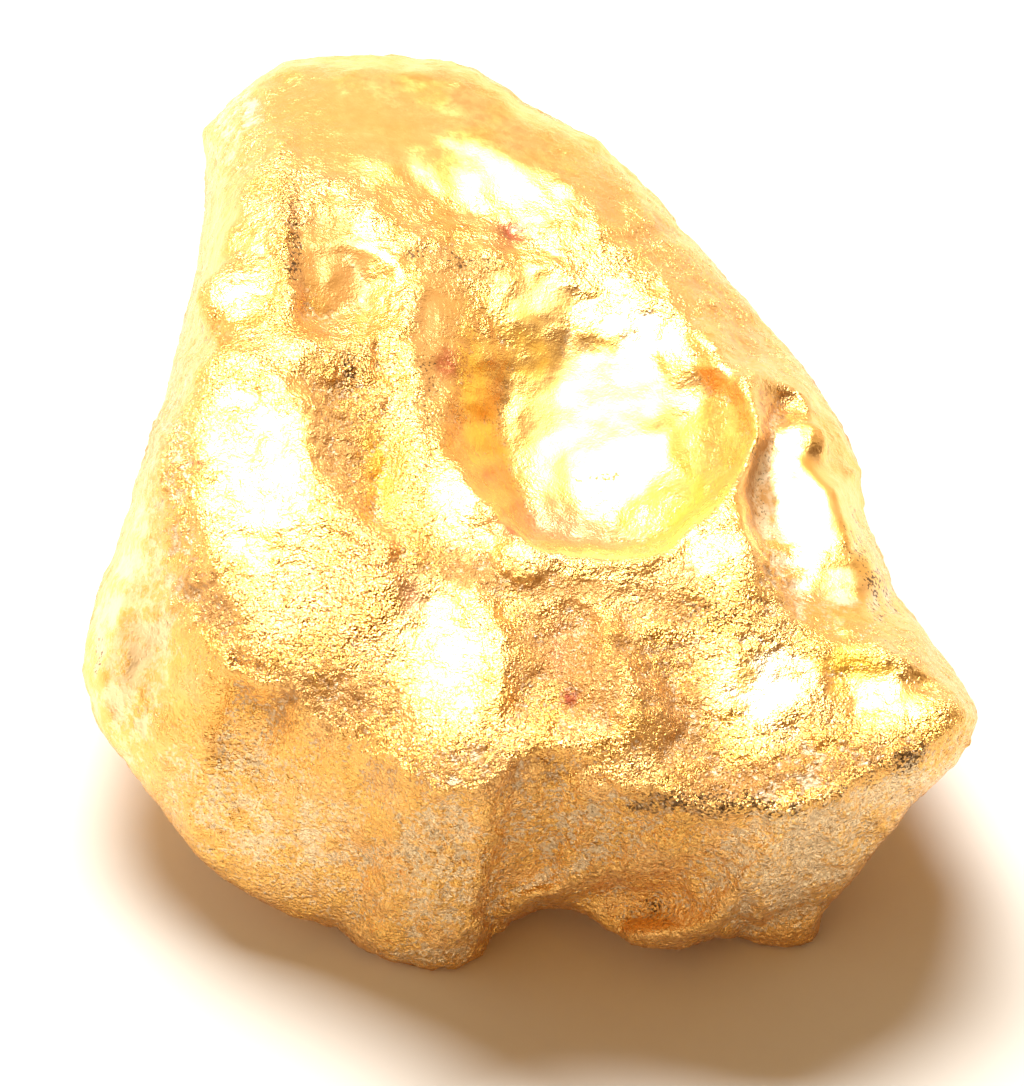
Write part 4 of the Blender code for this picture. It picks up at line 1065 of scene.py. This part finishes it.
@dataclass(frozen=True)
class NuggetSkin:
    """Builds the nugget's visible skin and records on it where its marks lie.

    Attributes:
        net: How the form is skinned.
        work: The fine skin that is pressed into it.
        hidden_share: The share of all its triangles that thinning aims for. It takes none that face the sight line.
        hidden_from: How squarely it may still face the sight line there.
        ragged: The noise that breaks up the edges of the marks, as (cell size, strength, salt).
        far_cell: Width of the marks' patches on the far side, in millimetres.
        far_level: How strong they are on average.
        far_spread: How much that varies.
        far_share: How much of a mark's full strength the far side gets.
        rub_from: How smooth the skin is where the rubbing starts.
        rub_span: How much smoother it is where the rubbing is full.
        rub_rounds: How many rounds of smoothing wear down the smoothest skin and the far side.
        hollow_rounds: How many rounds of smoothing tell the hollows from the crests.
        deepest_hollow: The depth that marks a full hollow, doubled, in millimetres.
    """

    net: SkinNet = SkinNet()
    work: SkinWork = SkinWork()
    hidden_share: float = 0.3
    hidden_from: float = -0.05
    ragged: tuple = ((0.3, 0.32, 71), (0.12, 0.22, 73))
    far_cell: float = 1.7
    far_level: float = 0.35
    far_spread: float = 0.5
    far_share: float = 0.6
    rub_from: float = 0.86
    rub_span: float = 0.125
    rub_rounds: int = 16
    hollow_rounds: int = 14
    deepest_hollow: float = 0.05

    def settle(self, mesh: bpy.types.Mesh, lump: Lump) -> None:
        """Moves each vertex straight on to the form's skin.

        Args:
            mesh: The mesh, which is changed.
            lump: The form.
        """
        points = coordinates(mesh)
        for _ in range(SETTLE_ROUNDS):
            here, slope = lump.gradient(points)
            move = (here / np.maximum((slope**2).sum(1), 0.25))[:, None] * slope
            points -= np.clip(move, -self.net.cell, self.net.cell)
        set_coordinates(mesh, points)

    def marks(self, points: np.ndarray, facing: np.ndarray) -> dict[Mark, np.ndarray]:
        """How strongly each mark covers each point, broken up by noise at its edge.

        Args:
            points: The points of the skin.
            facing: How squarely each one faces the line of sight, from -1 to 1.

        Returns:
            One row of values from 0 to 1 for each mark.
        """
        across, up, _ = across_up_depth(points)
        seen = np.clip(facing * 5.0, 0.0, 1.0)
        broken = sum(strength * ripple(points, cell, salt) for cell, strength, salt in self.ragged)
        found = {}
        for mark, rows in PATCHES.items():
            cover = np.zeros(len(points))
            for row in rows:
                cover = np.maximum(cover, Patch(*row).cover(across, up))
            cloud = ripple(points, self.far_cell, 81 + list(Mark).index(mark))
            far = np.clip(self.far_level + self.far_spread * cloud, 0.0, 1.0)
            cover = cover * seen + (1.0 - seen) * far * self.far_share
            found[mark] = np.clip(cover + broken * np.minimum(cover, 1.0 - cover) * 3.0, 0.0, 1.0)
        return found

    def roughen(self, mesh: bpy.types.Mesh) -> dict[Mark, np.ndarray]:
        """Rubs down the smoothest skin and the far side, then presses in the fine skin along the normals.

        Args:
            mesh: The mesh, which is changed.

        Returns:
            How strongly each mark covers each vertex.
        """
        normals, points = vertex_normals(mesh), coordinates(mesh)
        facing = normals @ SIGHT
        marks = self.marks(points, facing)
        rubbed = np.clip((marks[Mark.SMOOTH] - self.rub_from) / self.rub_span, 0.0, 1.0)
        rubbed *= np.clip(facing * 4.0, 0.0, 1.0)
        worn = np.maximum(rubbed, np.clip(-4.0 * facing - 0.6, 0.0, 1.0))[:, None] * 0.5
        for _ in range(self.rub_rounds):
            points += worn * (self.averaged(mesh, points) - points)
        set_coordinates(mesh, points)
        normals = vertex_normals(mesh)
        push = layered(points, SKIN_LAYERS, 23) * np.clip(0.25 - facing, 0.0, 1.0)
        moved = points + normals * push[:, None]
        mesh_push = self.work.push(points, marks)
        set_coordinates(mesh, moved + normals * mesh_push[:, None])
        return marks

    def averaged(self, mesh: bpy.types.Mesh, points: np.ndarray) -> np.ndarray:
        """The middle of the neighbours of each point.

        Args:
            mesh: The mesh whose edges join the points.
            points: A place for each of its vertices.

        Returns:
            One place for each point.
        """
        ends = np.empty(len(mesh.edges) * 2, np.int32)
        mesh.edges.foreach_get("vertices", ends)
        ends = ends.reshape(-1, 2)
        count = np.bincount(ends.ravel(), minlength=len(points))
        total = np.zeros_like(points)
        for axis in range(3):
            total[:, axis] += np.bincount(ends[:, 0], points[ends[:, 1], axis], len(points))
            total[:, axis] += np.bincount(ends[:, 1], points[ends[:, 0], axis], len(points))
        return total / np.maximum(count, 1)[:, None]

    def hollows(self, mesh: bpy.types.Mesh) -> np.ndarray:
        """How deep each vertex lies below the skin around it, in millimetres, negative on a crest.

        Args:
            mesh: The mesh.

        Returns:
            One depth for each vertex.
        """
        points, normals = coordinates(mesh), vertex_normals(mesh)
        smooth = points
        for _ in range(self.hollow_rounds):
            smooth = self.averaged(mesh, smooth)
        return ((smooth - points) * normals).sum(1)

    def wear_flats(self, mesh: bpy.types.Mesh) -> None:
        """Presses what lies below the table on to it, so that the nugget lies on worn flats.

        Args:
            mesh: The mesh, which is changed.
        """
        points = coordinates(mesh)
        points[:, 2] = np.maximum(points[:, 2], WORN_AWAY)
        set_coordinates(mesh, points)

    def thin(self, piece: bpy.types.Object) -> None:
        """Takes triangles away where the skin faces away from the sight line.

        Args:
            piece: The skin's object, which is changed.
        """
        normals = vertex_normals(piece.data)
        group = piece.vertex_groups.new(name="far_side")
        group.add(np.flatnonzero(normals @ SIGHT < self.hidden_from).tolist(), 1.0, "REPLACE")
        thinner = piece.modifiers.new("Thin far side", "DECIMATE")
        thinner.ratio = self.hidden_share
        thinner.vertex_group = group.name
        graph = bpy.context.evaluated_depsgraph_get()
        made = bpy.data.meshes.new_from_object(piece.evaluated_get(graph))
        piece.modifiers.clear()
        piece.data = made
        piece.vertex_groups.clear()

    def build(self, lump: Lump) -> bpy.types.Object:
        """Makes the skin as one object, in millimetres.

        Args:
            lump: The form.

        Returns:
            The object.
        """
        mesh = self.net.mesh(lump)
        self.settle(mesh, lump)
        marks = self.roughen(mesh)
        marks[Mark.HOLLOW] = np.clip(self.hollows(mesh) / self.deepest_hollow + 0.5, 0.0, 1.0)
        for mark, values in marks.items():
            mesh.attributes.new(mark.value, "FLOAT", "POINT").data.foreach_set("value", values.astype(np.float32))
        self.wear_flats(mesh)
        mesh.shade_smooth()
        piece = bpy.data.objects.new("nugget_skin", mesh)
        bpy.context.scene.collection.objects.link(piece)
        self.thin(piece)
        return piece


@dataclass(frozen=True)
class Placement:
    """Carries places of the drawing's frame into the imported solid's frame."""

    shift: tuple

    @classmethod
    def from_skin(cls, mesh: bpy.types.Mesh) -> "Placement":
        """The placement that puts the skin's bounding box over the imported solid's, standing on its base.

        Args:
            mesh: The skin's mesh, in millimetres.

        Returns:
            The placement.
        """
        points = coordinates(mesh)
        middle = (points.min(0) + points.max(0)) / 2
        low, high = (np.array(corner) / MM for corner in SOLID_BOX)
        solid = (low + high) / 2
        return cls((solid[0] - middle[0], solid[1] - middle[1], low[2] - points[:, 2].min()))

    def carry(self, piece: bpy.types.Object) -> None:
        """Moves a piece's mesh and scales it to metres."""
        piece.data.transform(Matrix.Scale(MM, 4) @ Matrix.Translation(Vector(self.shift)))

    def place(self, point: np.ndarray) -> Vector:
        """A place of the drawing's frame in metres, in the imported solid's frame."""
        return Vector((point + np.array(self.shift)) * MM)


def linear(colour: str) -> tuple[float, float, float, float]:
    """An sRGB hex colour as linear red, green, blue and alpha."""
    values = [int(colour.lstrip("#")[i : i + 2], 16) / 255.0 for i in (0, 2, 4)]
    return (*(v / 12.92 if v <= 0.04045 else ((v + 0.055) / 1.055) ** 2.4 for v in values), 1.0)


Source = bpy.types.Node | bpy.types.NodeSocket  # what a node's input may be linked to
EASED = {"interpolation_type": "SMOOTHSTEP"}


def add_node(tree: bpy.types.NodeTree, kind: str, links: dict | None = None, **settings) -> bpy.types.Node:
    """Adds a node to a tree.

    Args:
        tree: The node tree.
        kind: The node's type name, without the word that all of them start with.
        links: For each input, its name or index, and a node or socket to link, or a value to set.
        **settings: The node's own properties.

    Returns:
        The new node.
    """
    node = tree.nodes.new("ShaderNode" + kind)
    for name, value in settings.items():
        setattr(node, name, value)
    for name, value in (links or {}).items():
        if isinstance(value, bpy.types.Node):
            value = value.outputs[0]
        if isinstance(value, bpy.types.NodeSocket):
            tree.links.new(value, node.inputs[name])
        else:
            node.inputs[name].default_value = value
    return node


@dataclass(frozen=True)
class NativeGold:
    """Native gold: river-worn and hammered by pebbles, a satin metal with folded, rubbed skin.

    The micro-wrinkles scatter light into a broad, speckled gloss. Rubbed crests are paler and glossier, and
    sheltered hollows keep dirt, rust and a rose film of iron oxide. A deeper gold is painted in the channels and
    hollows as reflected bounce light, a paler gold on the undercut walls and the left flank as painted highlight
    and reflection of the lit floor, and the dark clay colour also paints shade along the brow and under the lip.

    Attributes:
        bright: Colour of the clean, rubbed metal.
        deep: Colour painted in channels and hollows for light bouncing between their walls, and of the random
            clouds.
        ochre: Colour of the thin matt film of ochre clay.
        pale: Paler colour painted as highlight and as reflection of the lit floor, on the undercut walls and the
            flank.
        dirt: Colour of the dark clay and black sand packed in recesses, and of painted shade on the brow, hump and
            lip.
        rust: Colour of the iron stains.
        rose: Colour of the thin rose film.
        wrinkle: Width of the finest wrinkles, in millimetres.
        speck: Width of the finest grain of the satin.
        grit: Width of the grains of dirt.
        flake: Width of the flakes of rust.
        rub: Width of the patches that are rubbed to one gloss.
        cloud: Width of the clouds of deeper colour.
        relief: Height of the finest wrinkles.
        satin: The metal's least and greatest roughness.
        sheen: How much dusty sheen lies over it, and how rough that is.
    """

    bright: str = "#FFCC7F"
    deep: str = "#FFC644"
    ochre: str = "#C98F45"
    pale: str = "#FFE9C0"
    dirt: str = "#6E4E22"
    rust: str = "#A8481E"
    rose: str = "#CE8862"
    wrinkle: float = 0.055
    speck: float = 0.024
    grit: float = 0.045
    flake: float = 0.09
    rub: float = 0.13
    cloud: float = 0.6
    relief: float = 0.034
    satin: tuple = (0.2, 0.3)
    sheen: tuple = (0.06, 0.5)

    def material(self) -> bpy.types.Material:
        """Makes the material.

        Returns:
            The material.
        """
        made = bpy.data.materials.new("native_gold_river_worn")
        made.use_nodes = True
        GoldMix(self, made.node_tree).dress(made.node_tree.nodes["Principled BSDF"])
        return made


class GoldMix:
    """Mixes native gold's finish in a node tree, from the place and the marks of each point of the skin."""

    def __init__(self, gold: NativeGold, tree: bpy.types.NodeTree) -> None:
        """Adds the place and the marks that everything else is mixed from.

        Args:
            gold: The finish's colours and sizes.
            tree: The material's node tree.
        """
        self.gold, self.tree = gold, tree
        self.add = partial(add_node, tree)
        self.place = self.add("TexCoord").outputs["Object"]
        self.marks = {mark: self.add("Attribute", attribute_name=mark.value).outputs["Fac"] for mark in Mark}

    def cells(self, width: float) -> dict:
        """The place and scale of a noise whose cells are this wide, in millimetres."""
        return {"Vector": self.place, "Scale": 1.0 / (width * MM)}

    def clay_and_shade(self) -> Source:
        """How thickly dark clay covers the metal: in specks where it is dirty, and in the smallest pockets. The same
        specks paint shade where the patches stand for shade, along the brow, on the hump and under the curled lip.

        Returns:
            The socket that holds it.
        """
        grains = self.add("TexNoise", {**self.cells(self.gold.grit), "Detail": 2.0})
        specks = self.add("MapRange", {"Value": grains, "From Min": 0.54, "From Max": 0.66}, **EASED)
        level = self.add("Math", {0: grains, 1: 2.5, 2: self.marks[Mark.DIRT_AND_SHADE]}, operation="MULTIPLY_ADD")
        dirty = self.add("MapRange", {"Value": level, "From Min": 2.05, "From Max": 2.3}, **EASED)
        deepest = {"Value": self.marks[Mark.HOLLOW], "From Min": 0.6, "From Max": 1.0, "To Max": 0.5}
        pocket = self.add("Math", {0: self.add("MapRange", deepest, **EASED), 1: specks}, operation="MULTIPLY")
        return self.add("Math", {0: dirty, 1: pocket}, operation="MAXIMUM")

    def stain(self) -> Source:
        """How strongly iron rust colours the metal, broken up by the skin's unevenness.

        Returns:
            The socket that holds it.
        """
        flakes = self.add("TexNoise", {**self.cells(self.gold.flake), "Detail": 2.0})
        broken = self.add("MapRange", {"Value": flakes, "From Min": 0.3, "From Max": 0.55}, **EASED)
        return self.add("Math", {0: self.marks[Mark.RUST], 1: broken}, operation="MULTIPLY")

    def film(self, mark: Mark) -> Source:
        """How strongly one mark colours the metal: broken at the grain's own size, stronger in its hollows.

        Args:
            mark: The mark.

        Returns:
            The socket that holds it.
        """
        grains = self.add("TexNoise", {**self.cells(self.gold.wrinkle), "Detail": 3.0, "Roughness": 0.65})
        centred = self.add("Math", {0: grains, 1: 0.5}, operation="SUBTRACT")
        broken = self.add("Math", {0: self.marks[Mark.SMOOTH], 1: -2.3, 2: 3.0}, operation="MULTIPLY_ADD")
        spread = self.add("Math", {0: centred, 1: broken, 2: -0.35}, operation="MULTIPLY_ADD")
        filled = self.add("Math", {0: self.marks[Mark.HOLLOW], 1: 0.7, 2: spread}, operation="MULTIPLY_ADD")
        level = self.add("Math", {0: self.marks[mark], 1: filled}, operation="ADD")
        return self.add("MapRange", {"Value": level, "From Min": 0.25, "From Max": 0.75, "To Max": 0.85}, **EASED)

    def height(self) -> Source:
        """The height of the finest wrinkles: strong on coarse skin and faint where it is rubbed smooth.

        Returns:
            The socket that holds it.
        """
        folds = self.add("TexNoise", {**self.cells(self.gold.wrinkle), "Detail": 2.0, "Distortion": 0.6})
        satin = self.add("TexNoise", {**self.cells(self.gold.speck), "Detail": 1.0})
        both = self.add("Math", {0: satin, 1: 0.35, 2: folds}, operation="MULTIPLY_ADD")
        rubbed = self.add("Math", {0: self.marks[Mark.SMOOTH], 1: -1.27, 2: 1.35}, operation="MULTIPLY_ADD")
        worked = self.add("Math", {0: self.marks[Mark.COARSE], 1: 0.95, 2: rubbed}, operation="MULTIPLY_ADD")
        return self.add("Math", {0: both, 1: worked}, operation="MULTIPLY")

    def gloss(self) -> Source:
        """The roughness: uneven where pebbles rubbed the metal, and greater where it is worn dull and smooth.

        Returns:
            The socket that holds it.
        """
        rub = self.add("TexNoise", {**self.cells(self.gold.rub), "Detail": 3.0})
        least, greatest = self.gold.satin
        limits = {"From Min": 0.3, "From Max": 0.7, "To Min": least, "To Max": greatest}
        satin = self.add("MapRange", {"Value": rub, **limits}, **EASED)
        return self.add("Math", {0: self.marks[Mark.SMOOTH], 1: 0.15, 2: satin}, operation="MULTIPLY_ADD")

    def dress(self, shader: bpy.types.Node) -> None:
        """Links everything to the shader.

        The colours go on from the metal outwards: its clouds with the painted reflection of bounce light in the
        channels, the films of rose and ochre, the paler painted highlight and reflection, rust, and clay that also
        paints shade.
        What lies on the metal is partly matt, and so is the painted bounce light, so they also take away from how
        metallic the surface is.

        Args:
            shader: The material's shader.
        """
        gold, link = self.gold, self.tree.links.new
        clouds = self.add("TexNoise", {**self.cells(gold.cloud), "Detail": 3.0})
        richer = self.add("MapRange", {"Value": clouds, "From Min": 0.35, "From Max": 0.65, "To Max": 0.35}, **EASED)
        # Random clouds of deeper gold, and the deeper gold painted in the channels as reflected bounce light.
        clouds_and_bounce = self.add("Math", {0: richer, 1: self.marks[Mark.PAINTED_BOUNCE]}, operation="MAXIMUM")
        rosy = self.add("Math", {0: self.marks[Mark.ROSE], 1: 0.75}, operation="MULTIPLY")
        # The pale film paints highlight and reflection of the lit floor; the dark clay also paints shade where its
        # patches lie.
        ochre, pale, stain, clay_and_shade = self.film(Mark.OCHRE), self.film(Mark.PAINTED_HIGHLIGHT), self.stain(), self.clay_and_shade()
        colour = linear(gold.bright)
        shades = (gold.deep, gold.rose, gold.ochre, gold.pale, gold.rust, gold.dirt)
        for share, shade in zip((clouds_and_bounce, rosy, ochre, pale, stain, clay_and_shade), shades):
            mixed = self.add("Mix", {0: share, 6: colour, 7: linear(shade)}, data_type="RGBA")
            colour = mixed.outputs[2]
        link(colour, shader.inputs["Base Color"])

        matt = self.add("Math", {0: stain, 1: ochre}, operation="MAXIMUM")
        for film, share in ((clay_and_shade, 0.5), (self.marks[Mark.PAINTED_BOUNCE], 0.7), (self.marks[Mark.ROSE], 0.7)):
            part = self.add("Math", {0: film, 1: share}, operation="MULTIPLY")
            matt = self.add("Math", {0: matt, 1: part}, operation="MAXIMUM")
        metal = self.add("Math", {0: matt, 1: -0.8, 2: 1.0}, operation="MULTIPLY_ADD")
        link(metal.outputs[0], shader.inputs["Metallic"])

        link(self.gloss().outputs[0], shader.inputs["Roughness"])
        bump = self.add("Bump", {"Height": self.height(), "Strength": 1.0, "Distance": gold.relief * MM})
        link(bump.outputs[0], shader.inputs["Normal"])
        for name, value in zip(("Sheen Weight", "Sheen Roughness"), gold.sheen):
            shader.inputs[name].default_value = value


@dataclass(frozen=True)
class PalePaper:
    """Pale matt card: smooth, uncoated paper board that scatters light evenly.

    Attributes:
        colour: Its colour.
        roughness: Its roughness, almost fully matt.
        mottle: How many cells of its uneven fibre lie along a metre.
        relief: How far the fibre stands up, in millimetres.
    """

    colour: str = "#F1EDE4"
    roughness: float = 0.9
    mottle: float = 900.0
    relief: float = 0.02

    def material(self) -> bpy.types.Material:
        """Makes the material.

        Returns:
            The material.
        """
        made = bpy.data.materials.new("matt_paper_board")
        made.use_nodes = True
        tree = made.node_tree
        shader = tree.nodes["Principled BSDF"]
        place = add_node(tree, "TexCoord").outputs["Object"]
        fibre = add_node(tree, "TexNoise", {"Vector": place, "Scale": self.mottle, "Detail": 3.0})
        bump = add_node(tree, "Bump", {"Height": fibre, "Strength": 0.2, "Distance": self.relief * MM})
        shader.inputs["Base Color"].default_value = linear(self.colour)
        shader.inputs["Roughness"].default_value = self.roughness
        tree.links.new(bump.outputs[0], shader.inputs["Normal"])
        return made


@dataclass(frozen=True)
class Studio:
    """A pale floor, a large soft key light over the back, a dim surround and the camera.

    Attributes:
        floor_half: Half the floor's width, in metres.
        key_towards: Direction from the nugget to the key light.
        key_distance: How far off the key light hangs, in metres.
        key_size: Its width across the view and its depth, in metres.
        key_watts: Its power.
        dome: Brightness of the surround everywhere, warm from the gold's own bounce.
        warmth: Colour of that dim surround, as linear red, green and blue.
        glows: Brighter sides of the surround, as (direction, start, end, brightness).
        glow_colour: Their colour, as linear red, green and blue, warm from white card beside the gold.
        lens: Focal length, in millimetres, long so that parallels stay parallel.
        sensor: Sensor height, in millimetres.
        frame_height: Height of the view at the nugget, in millimetres.
        aim: The (sheet x, sheet y) at the middle of the view.
    """

    floor_half: float = 0.5
    key_towards: tuple = (-0.12, 0.46, 0.9)
    key_distance: float = 0.1
    key_size: tuple = (0.08, 0.042)
    key_watts: float = 0.2
    dome: float = 0.17
    warmth: tuple = (1.0, 0.45, 0.1)
    glows: tuple = (
        ((0.0, 1.0, 0.0), 0.15, 0.7, 0.5),
        ((0.72, 0.64, 0.26), 0.82, 0.96, 0.35),
        ((-0.9, 0.36, 0.2), 0.7, 0.95, 1.0),
        ((-0.76, -0.34, 0.55), 0.75, 0.95, 0.48),
        ((0.0, -1.0, -0.3), 0.8, 0.95, 2.2),
    )
    glow_colour: tuple = (1.0, 0.84, 0.6)
    lens: float = 1600.0
    sensor: float = 36.0
    frame_height: float = 13.575
    aim: tuple = (512.0, 543.0)

    def floor(self) -> bpy.types.Object:
        """Lays the floor just under the nugget.

        Returns:
            The floor's object.
        """
        shaped = bmesh.new()
        bmesh.ops.create_grid(shaped, x_segments=1, y_segments=1, size=self.floor_half)
        mesh = bpy.data.meshes.new("floor")
        shaped.to_mesh(mesh)
        shaped.free()
        mesh.materials.append(PalePaper().material())
        floor = bpy.data.objects.new("floor", mesh)
        bpy.context.scene.collection.objects.link(floor)
        floor.location.z = SOLID_BOX[0][2]
        return floor

    def key(self, target: Vector) -> None:
        """Hangs the key light.

        Args:
            target: The point that it shines at.
        """
        light = bpy.data.lights.new("key", "AREA")
        light.shape = "ELLIPSE"
        light.size, light.size_y = self.key_size
        light.energy = self.key_watts
        hung = bpy.data.objects.new("key", light)
        bpy.context.scene.collection.objects.link(hung)
        towards = Vector(self.key_towards).normalized()
        across = Vector((1.0, 0.0, 0.0)).cross(towards).cross(towards).normalized() * -1.0
        turn = Matrix((across, towards.cross(across), towards)).transposed()
        hung.matrix_world = Matrix.Translation(target + towards * self.key_distance) @ turn.to_4x4()

    def surround(self) -> None:
        """Lights the surround: dim in front, glowing at the back and the sides."""
        world = bpy.data.worlds.new("surround")
        bpy.context.scene.world = world
        world.use_nodes = True
        add = partial(add_node, world.node_tree)
        towards = add("TexCoord").outputs["Generated"]
        total = 0.0
        for direction, start, end, brightness in self.glows:
            share = add("VectorMath", {0: towards, 1: direction}, operation="DOT_PRODUCT").outputs["Value"]
            limits = {"From Min": start, "From Max": end, "To Max": brightness}
            glow = add("MapRange", {"Value": share, **limits}, **EASED)
            total = add("Math", {0: glow, 1: total}, operation="ADD")
        warm = [self.dome * part for part in self.warmth]
        tint = add("VectorMath", {0: total, 1: self.glow_colour, 2: warm}, operation="MULTIPLY_ADD")
        background = world.node_tree.nodes["Background"]
        world.node_tree.links.new(tint.outputs[0], background.inputs["Color"])
        background.inputs["Strength"].default_value = 1.0

    def camera(self, placement: Placement) -> None:
        """Sets the camera on the line of sight, square to the drawing sheet.

        Args:
            placement: Where the nugget stands.
        """
        back = Vector(SIGHT)
        across, up = on_sheet(*self.aim)
        target = placement.place(from_sheet(across, up, 0.0))
        distance = self.frame_height * MM * self.lens / self.sensor
        lens = bpy.data.cameras.new("camera")
        lens.lens = self.lens
        lens.sensor_width = self.sensor
        lens.clip_start = 0.01
        lens.clip_end = 10.0
        camera = bpy.data.objects.new("camera", lens)
        bpy.context.scene.collection.objects.link(camera)
        camera.location = target + back * distance
        camera.rotation_mode = "QUATERNION"
        camera.rotation_quaternion = back.to_track_quat("Z", "Y")
        bpy.context.scene.camera = camera

    def set_up(self, placement: Placement) -> None:
        """Lays the floor, hangs the light and sets the camera.

        Args:
            placement: Where the nugget stands.
        """
        self.floor()
        low, high = (Vector(corner) for corner in SOLID_BOX)
        self.key((low + high) / 2)
        self.surround()
        self.camera(placement)
        bpy.context.scene.view_settings.view_transform = "Standard"


def main() -> None:
    logging.basicConfig(level=logging.INFO, format="%(name)s: %(message)s")
    lump = Lump()
    net = SkinNet()
    skin = NuggetSkin(net=net).build(lump)
    placement = Placement.from_skin(skin.data)
    placement.carry(skin)
    skin.data.materials.append(NativeGold().material())
    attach(skin, "root")
    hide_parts(NODE)
    log.info("%s: %d faces", skin.name, len(skin.data.polygons))
    Studio().set_up(placement)


if __name__ == "__main__":
    main()
